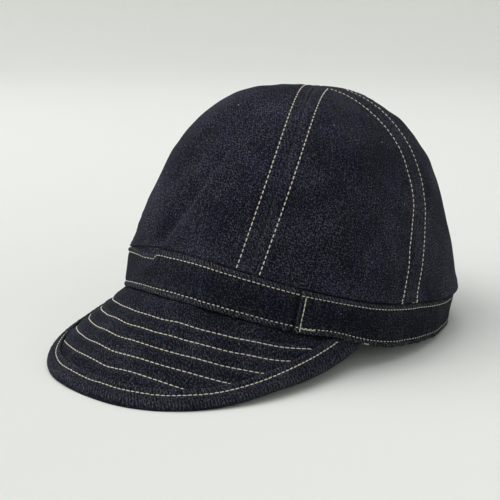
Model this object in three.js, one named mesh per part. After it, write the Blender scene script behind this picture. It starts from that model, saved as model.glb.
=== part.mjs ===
// A denim work cap: six crown panels sewn into a band with a lapped joint, and a stitched peak whose
// outer edge is bound in the same cloth. Millimetres, +Z up. The peak points along -Y, and the wearer's
// left is +X. Angles run round the head from the front, 0, towards the wearer's left, 90.
import * as THREE from 'three';

// Driving dimensions, in millimetres and degrees

// Bottom edge of the band: it lies flat at the back and lifts over the peak at the front
const RIM = {
  halfWidth: 84.6, frontReach: 102.9, frontPower: 1.97, backReach: 96.8, backPower: 2.1,
  frontRise: 36.9, risePower: 2.69, flattened: 0.25,
};
// Top edge of the band
const BAND_TOP = {
  halfWidth: 86.3, frontReach: 89.9, backReach: 92.6, power: 2.29,
  backHeight: 20.4, frontRise: 35.7, risePower: 2.5,
};
const BAND_THICKNESS = 2.4;
// The band's bottom edge stands this far above the peak at the front
const BAND_LIFT = 0.4;
const BAND_LAP = { angle: 44, edge: 0.15, step: 0.9, fade: 20 };
const BAND_PLEAT = { angle: -14, depth: 1.3, halfAngle: 5, reach: 0.6 };
const BAND_STEP_ANGLE = 5;
// Swell of the band's outer face, from its bottom edge to its top edge: each hem rolls out, and the cloth
// is drawn in along the stitches beside it
const BAND_FACE = [
  { height: 0, out: 0 },
  { height: 0.07, out: 0.45 },
  { height: 0.143, out: 0.1 },
  { height: 0.5, out: 0.25 },
  { height: 0.874, out: 0.1 },
  { height: 0.94, out: 0.45 },
  { height: 1, out: 0 },
];

const PIECE_GAP = 0.3;

// Crown: the seams meet at an apex set back from the front, and the front panel rises higher than it
const CROWN_CLOTH = 1.6;
const APEX = { y: 22, z: 131.7 };
const APEX_REACH = 0.992;
// The crown's lower edge is tucked inside the band, to a share of the band's height, and its cloth comes
// out over the band's top edge
const TUCK = { depth: 0.5, clearance: 0.3, rise: 3 };
// Shape of the crown seen to the front, back and side: powers of its plan and height curves, how far it
// is drawn in between band and apex, how far it stands above the straight run to the apex, and how far
// it hangs out over the band
const CROWN_SHAPE = {
  front: { planPower: 2.2, heightPower: 2.6, drawnIn: 4.1, lift: 17.7, overhang: 1.2 },
  back: { planPower: 1.84, heightPower: 2.02, drawnIn: 4, lift: -3.8, overhang: 2.4 },
  side: { planPower: 2.3, heightPower: 1.59, drawnIn: 6.9, lift: -2.8, overhang: 2.6 },
};
const OVERHANG_HEIGHT = 38;
// Up to this height above the band the wall's thickness turns from level to square to the cloth
const LEANING_BY = 14;
// The seams, each named by the two panels that it joins: angle at the band, how far the seam sways at mid
// height, and how far it leans by the apex
const SEAMS = [
  // Front and left front
  { base: 26.5, sway: 2.5, lean: 7 },
  // Left front and left back
  { base: 84, sway: 13.8, lean: 4.4 },
  // Left back and back
  { base: 148, sway: 6, lean: -2 },
  // Back and right back
  { base: 210, sway: -5, lean: 0 },
  // Right back and right front
  { base: 268, sway: -8, lean: -2 },
  // Right front and front
  { base: 315.7, sway: -5.4, lean: -2.9 },
];
const PANELS = [
  { name: 'crown_left_front', columns: 10 },
  { name: 'crown_left_back', columns: 10 },
  { name: 'crown_back', columns: 10 },
  { name: 'crown_right_back', columns: 10 },
  { name: 'crown_right_front', columns: 9 },
  { name: 'crown_front', columns: 14 },
];
// Heights of the panels' rows: close together where the cloth comes out over the band, then even
const ROWS_AT_BAND = [0, 0.004, 0.012, 0.025, 0.05, 0.09];
const EVEN_ROWS = { count: 13, from: 0.13 };
const PUFF = 0.8;
// The soft fold that runs up the front panel from the pleat in the band
const FOLD = { startAngle: -14, anglePerHeight: 54, depth: 1.8, halfWidth: 5, reach: 0.45 };

// Peak: a flat-bottomed outline bent over the front of the band
const PEAK = {
  halfWidth: 77.5, length: 114.6, centreY: -37.9, leftPower: 2.42, rightPower: 2.55,
  slope: 0.645, slopeAtSide: -0.36, slopeChange: -0.15, droop: 0.087, sideScale: 84.2,
  rightLift: 0.92, leftDroop: 0.59,
};
// The wearer's left end of the peak curls down, and both ends slip under the band
const PEAK_CURL = { amount: 2.45, fromAngle: 50, over: 36, reach: 8 };
const UNDER_BAND = { front: 0.15, side: 1.5, fromAngle: 35, over: 25, reach: 4 };
// Heights of the peak's layers above the cloth line that its outline and stitching follow
const PEAK_LAYERS = {
  bindingTop: 0.5, bindingTopInside: -0.2, coreTop: -0.6, coreBottom: -2.15,
  bindingBottomInside: -2.55, bindingBottom: -3.5,
};
const PEAK_TUCK = 1.5;
const PEAK_ROWS = 26;
// Columns of the board from the rim outwards: shares of the way to where the curl starts, and then the edge
const PEAK_COLUMNS = [0, 0.04, 0.3, 0.65, 1];
const PEAK_CORE_END = 0.9;
const BINDING = { width: 7.4, narrowest: 1.8, tucked: 1, edgeWall: 1.1, round: 1.2, end: 0.99 };

const DENIM = { color: 0x1d212d, roughness: 0.94, metalness: 0 };

const radians = (degrees) => THREE.MathUtils.degToRad(degrees);
const smooth = (value) => THREE.MathUtils.smoothstep(value, 0, 1);

// Sine and cosine of a superellipse, which is an ellipse at power 2 and squarer above it
function superCircle(angle, power) {
  const s = Math.sin(angle);
  const c = Math.cos(angle);
  const scale = (Math.abs(s) ** power + Math.abs(c) ** power) ** (-1 / power);
  return [s * scale, c * scale];
}

// Rise towards the front, 1 at the front and 0 at the back
function frontShare(angle, power) {
  return ((1 + Math.cos(angle)) / 2) ** power;
}

function rimPoint(angle) {
  const [s, c] = superCircle(angle, Math.cos(angle) > 0 ? RIM.frontPower : RIM.backPower);
  const reach = c > 0 ? RIM.frontReach : RIM.backReach;
  const z = RIM.frontRise * frontShare(angle, RIM.risePower) - RIM.flattened;
  return new THREE.Vector3(RIM.halfWidth * s, -reach * c, Math.max(0, z));
}

function bandTopPoint(angle) {
  const [s, c] = superCircle(angle, BAND_TOP.power);
  const reach = c > 0 ? BAND_TOP.frontReach : BAND_TOP.backReach;
  const z = BAND_TOP.backHeight + BAND_TOP.frontRise * frontShare(angle, BAND_TOP.risePower);
  return new THREE.Vector3(BAND_TOP.halfWidth * s, -reach * c, z);
}

function bandPoint(angle, height) {
  return rimPoint(angle).lerp(bandTopPoint(angle), height);
}

// Outward direction of the band in plan
function bandNormal(angle, height) {
  const step = 0.01;
  const along = bandPoint(angle + step, height).sub(bandPoint(angle - step, height));
  return new THREE.Vector3(along.y, -along.x, 0).normalize();
}

// Plan thickness of the band, which is more than its cloth where the band leans
function bandDepth(angle) {
  const side = bandTopPoint(angle).sub(rimPoint(angle));
  const outward = side.dot(bandNormal(angle, 0.5));
  return BAND_THICKNESS * Math.hypot(1, outward / side.z);
}

// Degrees from -180 to 180 for any angle
function wrappedDegrees(angle) {
  const degrees = THREE.MathUtils.radToDeg(angle);
  return degrees - 360 * Math.round(degrees / 360);
}

function lapStep(angle) {
  const past = wrappedDegrees(angle) - BAND_LAP.angle;
  return past > 0 ? BAND_LAP.step * (1 - smooth(past / BAND_LAP.fade)) : 0;
}

function pleatDepth(angle, height) {
  const away = (wrappedDegrees(angle) - BAND_PLEAT.angle) / BAND_PLEAT.halfAngle;
  const up = (height - 1 + BAND_PLEAT.reach) / BAND_PLEAT.reach;
  return BAND_PLEAT.depth * Math.exp(-away * away) * smooth(up);
}

// A closed wall from rows of outer and inner points. Rows join to the next, and the last to the first
// when the wall is a ring.
function wallMesh(name, rows, isRing) {
  const count = rows[0].outer.length;
  const positions = [];
  for (const row of rows) {
    for (const point of [...row.outer, ...row.inner]) positions.push(point.x, point.y, point.z);
  }
  const faces = [];
  const quad = (a, b, c, d) => faces.push(a, b, c, a, c, d);
  const outer = (row, i) => (row % rows.length) * 2 * count + i;
  const inner = (row, i) => outer(row, i) + count;
  const spans = isRing ? rows.length : rows.length - 1;
  for (let row = 0; row < spans; row += 1) {
    for (let i = 0; i < count - 1; i += 1) {
      quad(outer(row, i), outer(row + 1, i), outer(row + 1, i + 1), outer(row, i + 1));
      quad(inner(row, i), inner(row, i + 1), inner(row + 1, i + 1), inner(row + 1, i));
    }
    quad(inner(row, 0), inner(row + 1, 0), outer(row + 1, 0), outer(row, 0));
    const end = count - 1;
    quad(outer(row, end), outer(row + 1, end), inner(row + 1, end), inner(row, end));
  }
  if (!isRing) {
    const last = rows.length - 1;
    for (let i = 0; i < count - 1; i += 1) {
      quad(outer(0, i), outer(0, i + 1), inner(0, i + 1), inner(0, i));
      quad(outer(last, i), inner(last, i), inner(last, i + 1), outer(last, i + 1));
    }
  }
  const geometry = new THREE.BufferGeometry();
  geometry.setAttribute('position', new THREE.Float32BufferAttribute(positions, 3));
  geometry.setIndex(signedVolume(positions, faces) < 0 ? faces.reverse() : faces);
  geometry.computeVertexNormals();
  const mesh = new THREE.Mesh(geometry, new THREE.MeshStandardMaterial(DENIM));
  mesh.name = name;
  return mesh;
}

function signedVolume(positions, faces) {
  const corner = (index) => new THREE.Vector3().fromArray(positions, 3 * index);
  let sum = 0;
  for (let i = 0; i < faces.length; i += 3) {
    sum += corner(faces[i]).dot(corner(faces[i + 1]).cross(corner(faces[i + 2])));
  }
  return sum / 6;
}

// Band: a ring whose right-hand end laps over the left-hand one
function makeBand() {
  const angles = [BAND_LAP.angle - BAND_LAP.edge, BAND_LAP.angle + BAND_LAP.edge];
  for (let degrees = -180; degrees < 180; degrees += BAND_STEP_ANGLE) angles.push(degrees);
  angles.sort((a, b) => a - b);
  const rows = angles.map((degrees) => {
    const angle = radians(degrees);
    const place = (height, out) => {
      const point = bandPoint(angle, height).addScaledVector(bandNormal(angle, height), out);
      point.z += BAND_LIFT * frontShare(angle, 1) * (1 - height);
      return point;
    };
    const outer = BAND_FACE.map(({ height, out }) => {
      return place(height, out + lapStep(angle) - pleatDepth(angle, height));
    });
    const inner = BAND_FACE.map(({ height }) => {
      return place(height, -bandDepth(angle) - pleatDepth(angle, height));
    });
    return { outer, inner };
  });
  return wallMesh('band', rows, true);
}

// A crown measure at an angle, mixed from its front, back and side values
function crownMeasure(angle, key) {
  const c = Math.cos(angle);
  const s = Math.sin(angle);
  const end = c > 0 ? CROWN_SHAPE.front[key] : CROWN_SHAPE.back[key];
  return end * c * c + CROWN_SHAPE.side[key] * s * s;
}

// Crown surface: height 0 at the band and 1 at the apex
function crownPoint(angle, height) {
  const base = bandTopPoint(angle);
  const turn = (height * Math.PI) / 2;
  const plan = Math.cos(turn) ** (2 / crownMeasure(angle, 'planPower'));
  const rise = Math.sin(turn) ** (2 / crownMeasure(angle, 'heightPower'));
  const waist = Math.sin(Math.PI * rise ** 0.6) * Math.sqrt(Math.max(0, 1 - rise));
  const reach = plan - (crownMeasure(angle, 'drawnIn') * waist) / Math.hypot(base.x, base.y);
  const lift = crownMeasure(angle, 'lift') * Math.sin(Math.PI * height) ** 1.5 * height;
  return new THREE.Vector3(
    base.x * reach,
    base.y * reach + APEX.y * rise,
    base.z * (1 - rise) + APEX.z * rise + lift,
  );
}

function foldDepth(angle, height) {
  if (height < 0 || height > FOLD.reach) return 0;
  const middle = FOLD.startAngle + FOLD.anglePerHeight * height;
  const away = (wrappedDegrees(angle) - middle) / FOLD.halfWidth;
  return FOLD.depth * Math.exp(-away * away) * (1 - smooth(height / FOLD.reach));
}

// Outer face of the crown cloth. Below height 0 it is tucked inside the band.
function crownCloth(angle, height, puff) {
  const inset = bandDepth(angle) + PIECE_GAP;
  if (height <= 0) {
    const bandHeight = 1 + height;
    const inwards = inset + pleatDepth(angle, bandHeight);
    return bandPoint(angle, bandHeight).addScaledVector(bandNormal(angle, bandHeight), -inwards);
  }
  const point = crownPoint(angle, height);
  const risen = point.z - bandTopPoint(angle).z;
  const freed = smooth((risen - TUCK.clearance) / TUCK.rise);
  const tucked = (inset + pleatDepth(angle, 1)) * (1 - freed);
  const overhang = crownMeasure(angle, 'overhang') * freed * (1 - smooth(risen / OVERHANG_HEIGHT));
  const out = puff * Math.sin(Math.PI * height) + overhang - foldDepth(angle, height) - tucked;
  return point.addScaledVector(bandNormal(angle, 1), out);
}

// Directions along and out of the crown, without its folds and the bend where it comes out over the band
function crownFacing(angle, height) {
  const step = 0.004;
  const surface = (at, up) => (height > 0 ? crownPoint(at, up) : bandPoint(at, 1 + up));
  const along = surface(angle + step, height).sub(surface(angle - step, height)).normalize();
  const up = surface(angle, height + step).sub(surface(angle, height));
  const risen = surface(angle, height).z - bandTopPoint(angle).z;
  const outward = bandNormal(angle, 1);
  outward.lerp(along.clone().cross(up).normalize(), smooth(risen / LEANING_BY));
  return { along, outward: outward.normalize() };
}

function seamAngle(seam, height) {
  const above = Math.max(0, height);
  return radians(seam.base + seam.sway * Math.sin(Math.PI * above) + seam.lean * above);
}

function crownHeights() {
  const heights = [-TUCK.depth, -TUCK.depth / 2, ...ROWS_AT_BAND];
  for (let row = 0; row <= EVEN_ROWS.count; row += 1) {
    heights.push(THREE.MathUtils.lerp(EVEN_ROWS.from, APEX_REACH, row / EVEN_ROWS.count));
  }
  return heights;
}

// A crown panel between two seams, puffed a little in the middle and held half a gap off each seam
function makePanel(panel, fromSeam, toSeam) {
  const turnsPast = toSeam.base < fromSeam.base ? 2 * Math.PI : 0;
  const rows = crownHeights().map((height) => {
    const from = seamAngle(fromSeam, height);
    const to = seamAngle(toSeam, height) + turnsPast;
    const outer = [];
    const inner = [];
    for (let i = 0; i <= panel.columns; i += 1) {
      const share = i / panel.columns;
      const angle = THREE.MathUtils.lerp(from, to, share);
      const puff = PUFF * Math.sin(Math.PI * share);
      const point = crownCloth(angle, height, puff);
      const { along, outward } = crownFacing(angle, height);
      const offSeam = i === 0 ? PIECE_GAP / 2 : i === panel.columns ? -PIECE_GAP / 2 : 0;
      point.addScaledVector(along, offSeam);
      outer.push(point);
      inner.push(point.clone().addScaledVector(outward, -CROWN_CLOTH));
    }
    return { outer, inner };
  });
  return wallMesh(panel.name, rows, false);
}

// Angle round the rim at which the rim has a given half width
function rimAngleAt(x) {
  const share = Math.min(1, Math.abs(x) / RIM.halfWidth);
  const other = (1 - share ** RIM.frontPower) ** (1 / RIM.frontPower);
  return Math.sign(x) * Math.atan2(share, other);
}

// Height of the peak's cloth: it leaves the rim and falls away forwards, less steeply at the sides
function peakHeight(x, y) {
  const rim = rimPoint(rimAngleAt(x));
  const forward = Math.max(0, rim.y - y);
  const side = Math.abs(x) / PEAK.sideScale;
  const slope = PEAK.slope + PEAK.slopeChange * side + PEAK.slopeAtSide * side * side;
  const bend = x < 0 ? PEAK.rightLift : -PEAK.leftDroop;
  const fall = slope * forward + (PEAK.droop * forward * forward) / 100;
  return rim.z - fall + (bend * side * side * forward) / 10;
}

// How far the peak sinks where it runs under the band's edge
function underBand(x, y) {
  const rimAngle = rimAngleAt(x);
  const clear = (rimPoint(rimAngle).y - y) * Math.abs(bandNormal(rimAngle, 0).y);
  const turned = Math.abs(THREE.MathUtils.radToDeg(rimAngle)) - UNDER_BAND.fromAngle;
  const depth = THREE.MathUtils.lerp(UNDER_BAND.front, UNDER_BAND.side, smooth(turned / UNDER_BAND.over));
  return depth * (1 - smooth(clear / UNDER_BAND.reach));
}

// How far the end of the peak curls down, from its distance in from the outline
function peakCurl(x, y) {
  const power = x > 0 ? PEAK.leftPower : PEAK.rightPower;
  const across = Math.abs(x) / PEAK.halfWidth;
  const ahead = (PEAK.centreY - y) / PEAK.length;
  const reached = (across ** power + Math.abs(ahead) ** power) ** (1 / power);
  const nearing = Math.hypot(
    (across / reached) ** (power - 1) / PEAK.halfWidth,
    (Math.abs(ahead) / reached) ** (power - 1) / PEAK.length,
  );
  const inset = (1 - reached) / nearing;
  const turned = THREE.MathUtils.radToDeg(Math.atan2(x / PEAK.halfWidth, ahead)) - PEAK_CURL.fromAngle;
  const nearEdge = Math.min(1, Math.max(0, 1 - inset / PEAK_CURL.reach));
  return PEAK_CURL.amount * smooth(turned / PEAK_CURL.over) * nearEdge;
}

// A point on one layer of the peak, measured square to its cloth from side to side
function peakPoint(x, y, layer) {
  const step = 0.5;
  const alongX = (peakHeight(x + step, y) - peakHeight(x - step, y)) / (2 * step);
  const alongY = (peakHeight(x, y + step) - peakHeight(x, y - step)) / (2 * step);
  const sunk = layer - Math.max(peakCurl(x, y), underBand(x, y));
  const up = (sunk * Math.hypot(1, alongY)) / Math.hypot(1, alongX);
  return new THREE.Vector3(x - alongX * up, y, Math.max(0, peakHeight(x, y) + up));
}

function outlinePoint(angle) {
  const [s, c] = superCircle(angle, angle > 0 ? PEAK.leftPower : PEAK.rightPower);
  return new THREE.Vector2(PEAK.halfWidth * s, PEAK.centreY - PEAK.length * c);
}

function outlineInwards(angle) {
  const step = 0.005;
  const along = outlinePoint(angle + step).sub(outlinePoint(angle - step)).normalize();
  return new THREE.Vector2(-along.y, along.x);
}

// Angle of the outline at which it runs into the rim
function outlineEnd() {
  const halvings = 40;
  let low = 0;
  let high = Math.PI / 2;
  for (let i = 0; i < halvings; i += 1) {
    const middle = (low + high) / 2;
    const point = outlinePoint(middle);
    if (point.y < rimPoint(rimAngleAt(point.x)).y) low = middle;
    else high = middle;
  }
  return low;
}

// Peak board: from under the band's edge out to the inside of the binding
function makePeak() {
  const end = outlineEnd();
  const rimEnd = rimAngleAt(outlinePoint(end).x);
  const rows = [];
  for (let row = 0; row <= PEAK_ROWS; row += 1) {
    const share = (2 * row) / PEAK_ROWS - 1;
    const angle = share * PEAK_CORE_END * end;
    const rimAngle = share * PEAK_CORE_END * rimEnd;
    const frontInset = BINDING.edgeWall + PIECE_GAP;
    const front = outlinePoint(angle).addScaledVector(outlineInwards(angle), frontInset);
    const rim = rimPoint(rimAngle);
    const length = Math.hypot(front.x - rim.x, front.y - rim.y);
    const flat = 1 - Math.min(0.5, (PEAK_CURL.reach - frontInset) / length);
    const columns = [...PEAK_COLUMNS.map((column) => column * flat), 1];
    const layer = (height) => columns.map((column, i) => {
      const place = new THREE.Vector2(rim.x, rim.y).lerp(front, column);
      const point = peakPoint(place.x, place.y, height);
      // The first column goes on under the band
      return i === 0 ? point.addScaledVector(bandNormal(rimAngle, 0), -PEAK_TUCK) : point;
    });
    rows.push({ outer: layer(PEAK_LAYERS.coreTop), inner: layer(PEAK_LAYERS.coreBottom) });
  }
  return wallMesh('peak', rows, false);
}

// Binding: a strip folded over the peak's outer edge, narrowing where it runs under the band
function makeBinding() {
  const end = outlineEnd();
  const rows = [];
  for (let row = 0; row <= 2 * PEAK_ROWS; row += 1) {
    const share = row / PEAK_ROWS - 1;
    const angle = share * BINDING.end * end;
    const edge = outlinePoint(angle);
    const inwards = outlineInwards(angle);
    const rim = rimPoint(rimAngleAt(edge.x));
    const room = roomToRim(edge, inwards) + BINDING.tucked;
    const width = Math.min(BINDING.width, Math.max(BINDING.narrowest, room));
    const at = (inset, layer) => {
      const place = edge.clone().addScaledVector(inwards, inset);
      return peakPoint(place.x, place.y, layer);
    };
    const { bindingTop, bindingTopInside, bindingBottomInside, bindingBottom } = PEAK_LAYERS;
    const outer = [
      at(width, bindingTop), at((width + BINDING.round) / 2, bindingTop), at(BINDING.round, bindingTop),
      at(0, -BINDING.round / 2), at(0, bindingBottom + BINDING.round),
      at(BINDING.round, bindingBottom), at((width + BINDING.round) / 2, bindingBottom),
      at(width, bindingBottom),
    ];
    const wall = BINDING.edgeWall;
    const inner = [
      at(width, bindingTopInside), at((width + wall) / 2, bindingTopInside), at(wall, bindingTopInside),
      at(wall, -BINDING.round / 2), at(wall, bindingBottom + BINDING.round),
      at(wall, bindingBottomInside), at((width + wall) / 2, bindingBottomInside),
      at(width, bindingBottomInside),
    ];
    if (rim.y > edge.y) rows.push({ outer, inner });
  }
  return wallMesh('peak_binding', rows, false);
}

// Distance from a point of the outline, going inwards, to the rim, or the reach if that is less
function roomToRim(edge, inwards) {
  const reach = 10;
  const steps = 80;
  for (let i = 0; i <= steps; i += 1) {
    const inset = (reach * i) / steps;
    const x = edge.x + inwards.x * inset;
    const y = edge.y + inwards.y * inset;
    if (y > rimPoint(rimAngleAt(x)).y) return inset;
  }
  return reach;
}

const cap = new THREE.Group();
cap.add(makeBand());
PANELS.forEach((panel, i) => cap.add(makePanel(panel, SEAMS[i], SEAMS[(i + 1) % SEAMS.length])));
cap.add(makePeak(), makeBinding());

// The cap stands on z = 0 with the middle of its plan at the origin
const bounds = new THREE.Box3().setFromObject(cap);
const middle = bounds.getCenter(new THREE.Vector3());
cap.position.set(-middle.x, -middle.y, -bounds.min.z);

export default cap;
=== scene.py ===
# %% [markdown]
# A denim work cap
# This lesson dresses a packed cap in cloth. The real cap is cut from unwashed indigo twill: six crown
# panels, a double band with a lapped joint, and a stiffened peak whose edge is bound in the same cloth.
# Everything that the eye reads as denim is relief and weave, so each piece is built as a fine sheet first,
# and its material then adds what is too small to model.

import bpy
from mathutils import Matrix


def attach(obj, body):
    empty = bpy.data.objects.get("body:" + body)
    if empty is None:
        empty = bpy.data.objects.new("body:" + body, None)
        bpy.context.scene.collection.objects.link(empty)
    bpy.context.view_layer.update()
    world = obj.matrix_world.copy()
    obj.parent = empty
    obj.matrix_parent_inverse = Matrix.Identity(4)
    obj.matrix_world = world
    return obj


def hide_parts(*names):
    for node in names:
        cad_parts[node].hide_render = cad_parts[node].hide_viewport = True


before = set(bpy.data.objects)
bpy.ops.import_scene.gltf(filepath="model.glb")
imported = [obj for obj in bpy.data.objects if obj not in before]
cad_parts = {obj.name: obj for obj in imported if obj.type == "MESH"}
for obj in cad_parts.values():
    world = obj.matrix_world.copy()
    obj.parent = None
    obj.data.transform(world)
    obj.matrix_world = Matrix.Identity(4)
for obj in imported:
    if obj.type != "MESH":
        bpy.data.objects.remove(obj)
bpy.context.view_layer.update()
print("nodes to dress:", ", ".join(sorted(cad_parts)))

# %% Tools and units
import math

import bmesh
import bpy
import numpy as np
from mathutils import Matrix, Vector

# Shapes are worked out in millimetres, and become metres where a mesh takes them
MM = 0.001
BODY = "root"

# %% [markdown]
# The shape of the cap
# A cap is soft, so its form is a set of smooth curves rather than a set of solids. The same curves as in
# the part's source are used here, so that every sheet lies where its solid is. A few small lifts and sags
# of the edges are in the cloth alone. Angles run round the head from the front, 0, towards the wearer's
# left, 90. The curves take whole arrays of angles at once, which keeps a fine sheet of twenty thousand
# points quick to make.

# %% Sizes of the band, the crown and the peak
RIM = {
    "half_width": 84.6, "front_reach": 102.9, "front_power": 1.97, "back_reach": 96.8, "back_power": 2.1,
    "front_rise": 36.9, "rise_power": 2.69, "flattened": 0.25,
}
BAND_TOP = {
    "half_width": 86.3, "front_reach": 89.9, "back_reach": 92.6, "power": 2.29,
    "back_height": 20.4, "front_rise": 35.7, "rise_power": 2.5,
}
# Small lifts and sags of the band's edges, by their angle and how many degrees they reach to either side
RIM_RAISED = {"angle": 57, "over": 8, "height": 1.7}
RIM_SAG = {"angle": 76, "over": 12, "depth": 1.2}
RIM_PRESSED = {"angle": 116, "over": 15, "depth": 1.5}
BAND_TOP_LIFT = {"angle": 90, "over": 13, "height": 1.3}
BAND_THICKNESS = 2.4
BAND_PLEAT = {"angle": -14, "depth": 1.3, "half_angle": 5, "reach": 0.6}
BAND_LIFT = 0.4
BAND_THINNING = {"amount": 0.5, "from_height": 0.78, "over": 0.15}
PIECE_GAP = 0.3

APEX_Y = 22
APEX_Z = 131.7
TUCK = {"depth": 0.5, "rise": 0.9}
PUFF = 0.8
WAIST_POWER = 0.6
LIFT_POWER = 1.5
CROWN_SHAPE = {
    "front": {"plan_power": 2.2, "height_power": 2.6, "drawn_in": 4.1, "lift": 17.7, "overhang": -0.5},
    "back": {"plan_power": 1.84, "height_power": 2.02, "drawn_in": 4, "lift": -3.8, "overhang": 2.4},
    "side": {"plan_power": 2.3, "height_power": 1.59, "drawn_in": 6.9, "lift": -2.8, "overhang": 2.6},
}
OVERHANG = {"full_to": 14, "over": 30}
CROWN_CLOTH = 1.6
# Each seam's angle at the band, its sway at mid height, its lean by the apex and the turn of its foot
SEAMS = [
    (26.5, 2.5, 7, 0), (84, 13.8, 4.4, -3), (148, 6, -2, 0), (210, -5, 0, 0), (268, -8, -2, 0),
    (315.7, -5.4, -2.9, 0),
]
FOOT_TURN = {"full_to": 0.19, "over": 0.18}
PANELS = [
    "crown_left_front", "crown_left_back", "crown_back",
    "crown_right_back", "crown_right_front", "crown_front",
]
# The fold above the band's pleat, and the crease beside it, on whose lit flank a highlight is painted
FOLD = {
    "start_angle": -16, "turn": 20, "turned_by": 0.28, "curve": 0.62, "depth": 1.8, "half_width": 5,
    "reach": 0.45,
}
CREASE_HIGHLIGHT = {"beside": 2, "half_width": 0.7, "rub": 0.4, "starts_over": 0.01, "full_to": 0.2, "over": 0.3}

PEAK = {
    "left_half_width": 78.2, "right_half_width": 77.1, "left_power": 2.38, "right_power": 2.55,
    "length": 114.6, "centre_y": -37.9, "slope": 0.645, "slope_change": -0.15, "slope_at_side": -0.36,
    "droop": 0.087, "side_scale": 84.2, "right_lift": 0.62, "left_droop": 0.59,
}
PEAK_HALF_WIDTH = (PEAK["left_half_width"] + PEAK["right_half_width"]) / 2
# The wearer's left end of the peak curls down, and both ends slip under the band
PEAK_CURL = {"amount": 2.45, "from_angle": 50, "over": 36, "reach": 8}
UNDER_BAND = {"front": 0.15, "side": 1.5, "from_angle": 35, "over": 25, "reach": 4}
PEAK_TOP = -0.5
PEAK_BOARD = 1.5
PEAK_TUCK = 4.2
PEAK_CORE_END = 0.93
BINDING = {"width": 7.4, "top": 0.5, "bottom": -3.5, "tucked": 1, "narrowest": 1.8, "end": 0.99}

# The part's origin is the middle of its plan, which is this far in front of the head's centre
HEAD_TO_ORIGIN = 27.77

# %% Curves of the rim and the band
def smooth(value):
    share = np.clip(value, 0, 1)
    return share * share * (3 - 2 * share)


def bell(value):
    return np.exp(-value * value)


def spot(x, y, z):
    return np.stack(np.broadcast_arrays(x, y, z), axis=-1)


def unit(vectors):
    return vectors / np.maximum(np.linalg.norm(vectors, axis=-1, keepdims=True), 1e-9)


def wrapped_degrees(angle):
    degrees = np.degrees(angle)
    return degrees - 360 * np.round(degrees / 360)


def super_circle(angle, power):
    s, c = np.sin(angle), np.cos(angle)
    scale = (np.abs(s) ** power + np.abs(c) ** power) ** (-1 / power)
    return s * scale, c * scale


def front_share(angle, power):
    return ((1 + np.cos(angle)) / 2) ** power


def near_angle(angle, place):
    """1 at the place's angle, falling to 0 on both sides of it."""
    return bell((wrapped_degrees(angle) - place["angle"]) / place["over"])


def rim_point(angle):
    front = np.cos(angle) > 0
    s, c = super_circle(angle, np.where(front, RIM["front_power"], RIM["back_power"]))
    reach = np.where(front, RIM["front_reach"], RIM["back_reach"])
    rise = RIM["front_rise"] * front_share(angle, RIM["rise_power"]) - RIM["flattened"]
    rise = rise + RIM_RAISED["height"] * near_angle(angle, RIM_RAISED)
    rise = rise - RIM_SAG["depth"] * near_angle(angle, RIM_SAG)
    kept = 1 - RIM_PRESSED["depth"] / RIM["half_width"] * near_angle(angle, RIM_PRESSED)
    return spot(RIM["half_width"] * s * kept, -reach * c * kept, np.maximum(0, rise))


def band_top_point(angle):
    s, c = super_circle(angle, BAND_TOP["power"])
    reach = np.where(c > 0, BAND_TOP["front_reach"], BAND_TOP["back_reach"])
    rise = BAND_TOP["back_height"] + BAND_TOP["front_rise"] * front_share(angle, BAND_TOP["rise_power"])
    rise = rise + BAND_TOP_LIFT["height"] * near_angle(angle, BAND_TOP_LIFT)
    return spot(BAND_TOP["half_width"] * s, -reach * c, rise)


def band_point(angle, height):
    share = np.asarray(height)[..., None]
    return rim_point(angle) * (1 - share) + band_top_point(angle) * share


def band_normal(angle, height):
    step = 0.01
    along = band_point(angle + step, height) - band_point(angle - step, height)
    return unit(spot(along[..., 1], -along[..., 0], 0))


def band_depth(angle):
    side = band_top_point(angle) - rim_point(angle)
    outward = np.sum(side * band_normal(angle, 0.5), axis=-1)
    return BAND_THICKNESS * np.hypot(1, outward / side[..., 2])


def band_thinning(height):
    """The band's cloth is pressed thinner towards its top edge."""
    up = (height - BAND_THINNING["from_height"]) / BAND_THINNING["over"]
    return 1 - BAND_THINNING["amount"] * smooth(up)


def pleat_depth(angle, height):
    away = (wrapped_degrees(angle) - BAND_PLEAT["angle"]) / BAND_PLEAT["half_angle"]
    up = (height - 1 + BAND_PLEAT["reach"]) / BAND_PLEAT["reach"]
    return BAND_PLEAT["depth"] * bell(away) * smooth(up)


turn = np.radians(np.arange(0, 361, 1))
rim_length = np.sum(np.linalg.norm(np.diff(rim_point(turn), axis=0), axis=1))
print(f"the band's bottom edge is {rim_length:.0f} mm round")

# %% Curves of the crown
def crown_measure(angle, key):
    c, s = np.cos(angle), np.sin(angle)
    end = np.where(c > 0, CROWN_SHAPE["front"][key], CROWN_SHAPE["back"][key])
    return end * c * c + CROWN_SHAPE["side"][key] * s * s


def crown_point(angle, height):
    base = band_top_point(angle)
    quarter = height * np.pi / 2
    plan = np.maximum(np.cos(quarter), 0) ** (2 / crown_measure(angle, "plan_power"))
    rise = np.sin(quarter) ** (2 / crown_measure(angle, "height_power"))
    waist = np.sin(np.pi * rise ** WAIST_POWER) * np.sqrt(np.maximum(0, 1 - rise))
    reach = plan - crown_measure(angle, "drawn_in") * waist / np.hypot(base[..., 0], base[..., 1])
    lift = crown_measure(angle, "lift") * np.sin(np.pi * np.clip(height, 0, 1)) ** LIFT_POWER * height
    return spot(
        base[..., 0] * reach,
        base[..., 1] * reach + APEX_Y * rise,
        base[..., 2] * (1 - rise) + APEX_Z * rise + lift,
    )


def fold_angle(height):
    """The fold climbs steeply at first, in degrees from the front."""
    above = np.maximum(height, 0) / FOLD["turned_by"]
    return FOLD["start_angle"] + FOLD["turn"] * above ** FOLD["curve"]


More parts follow.
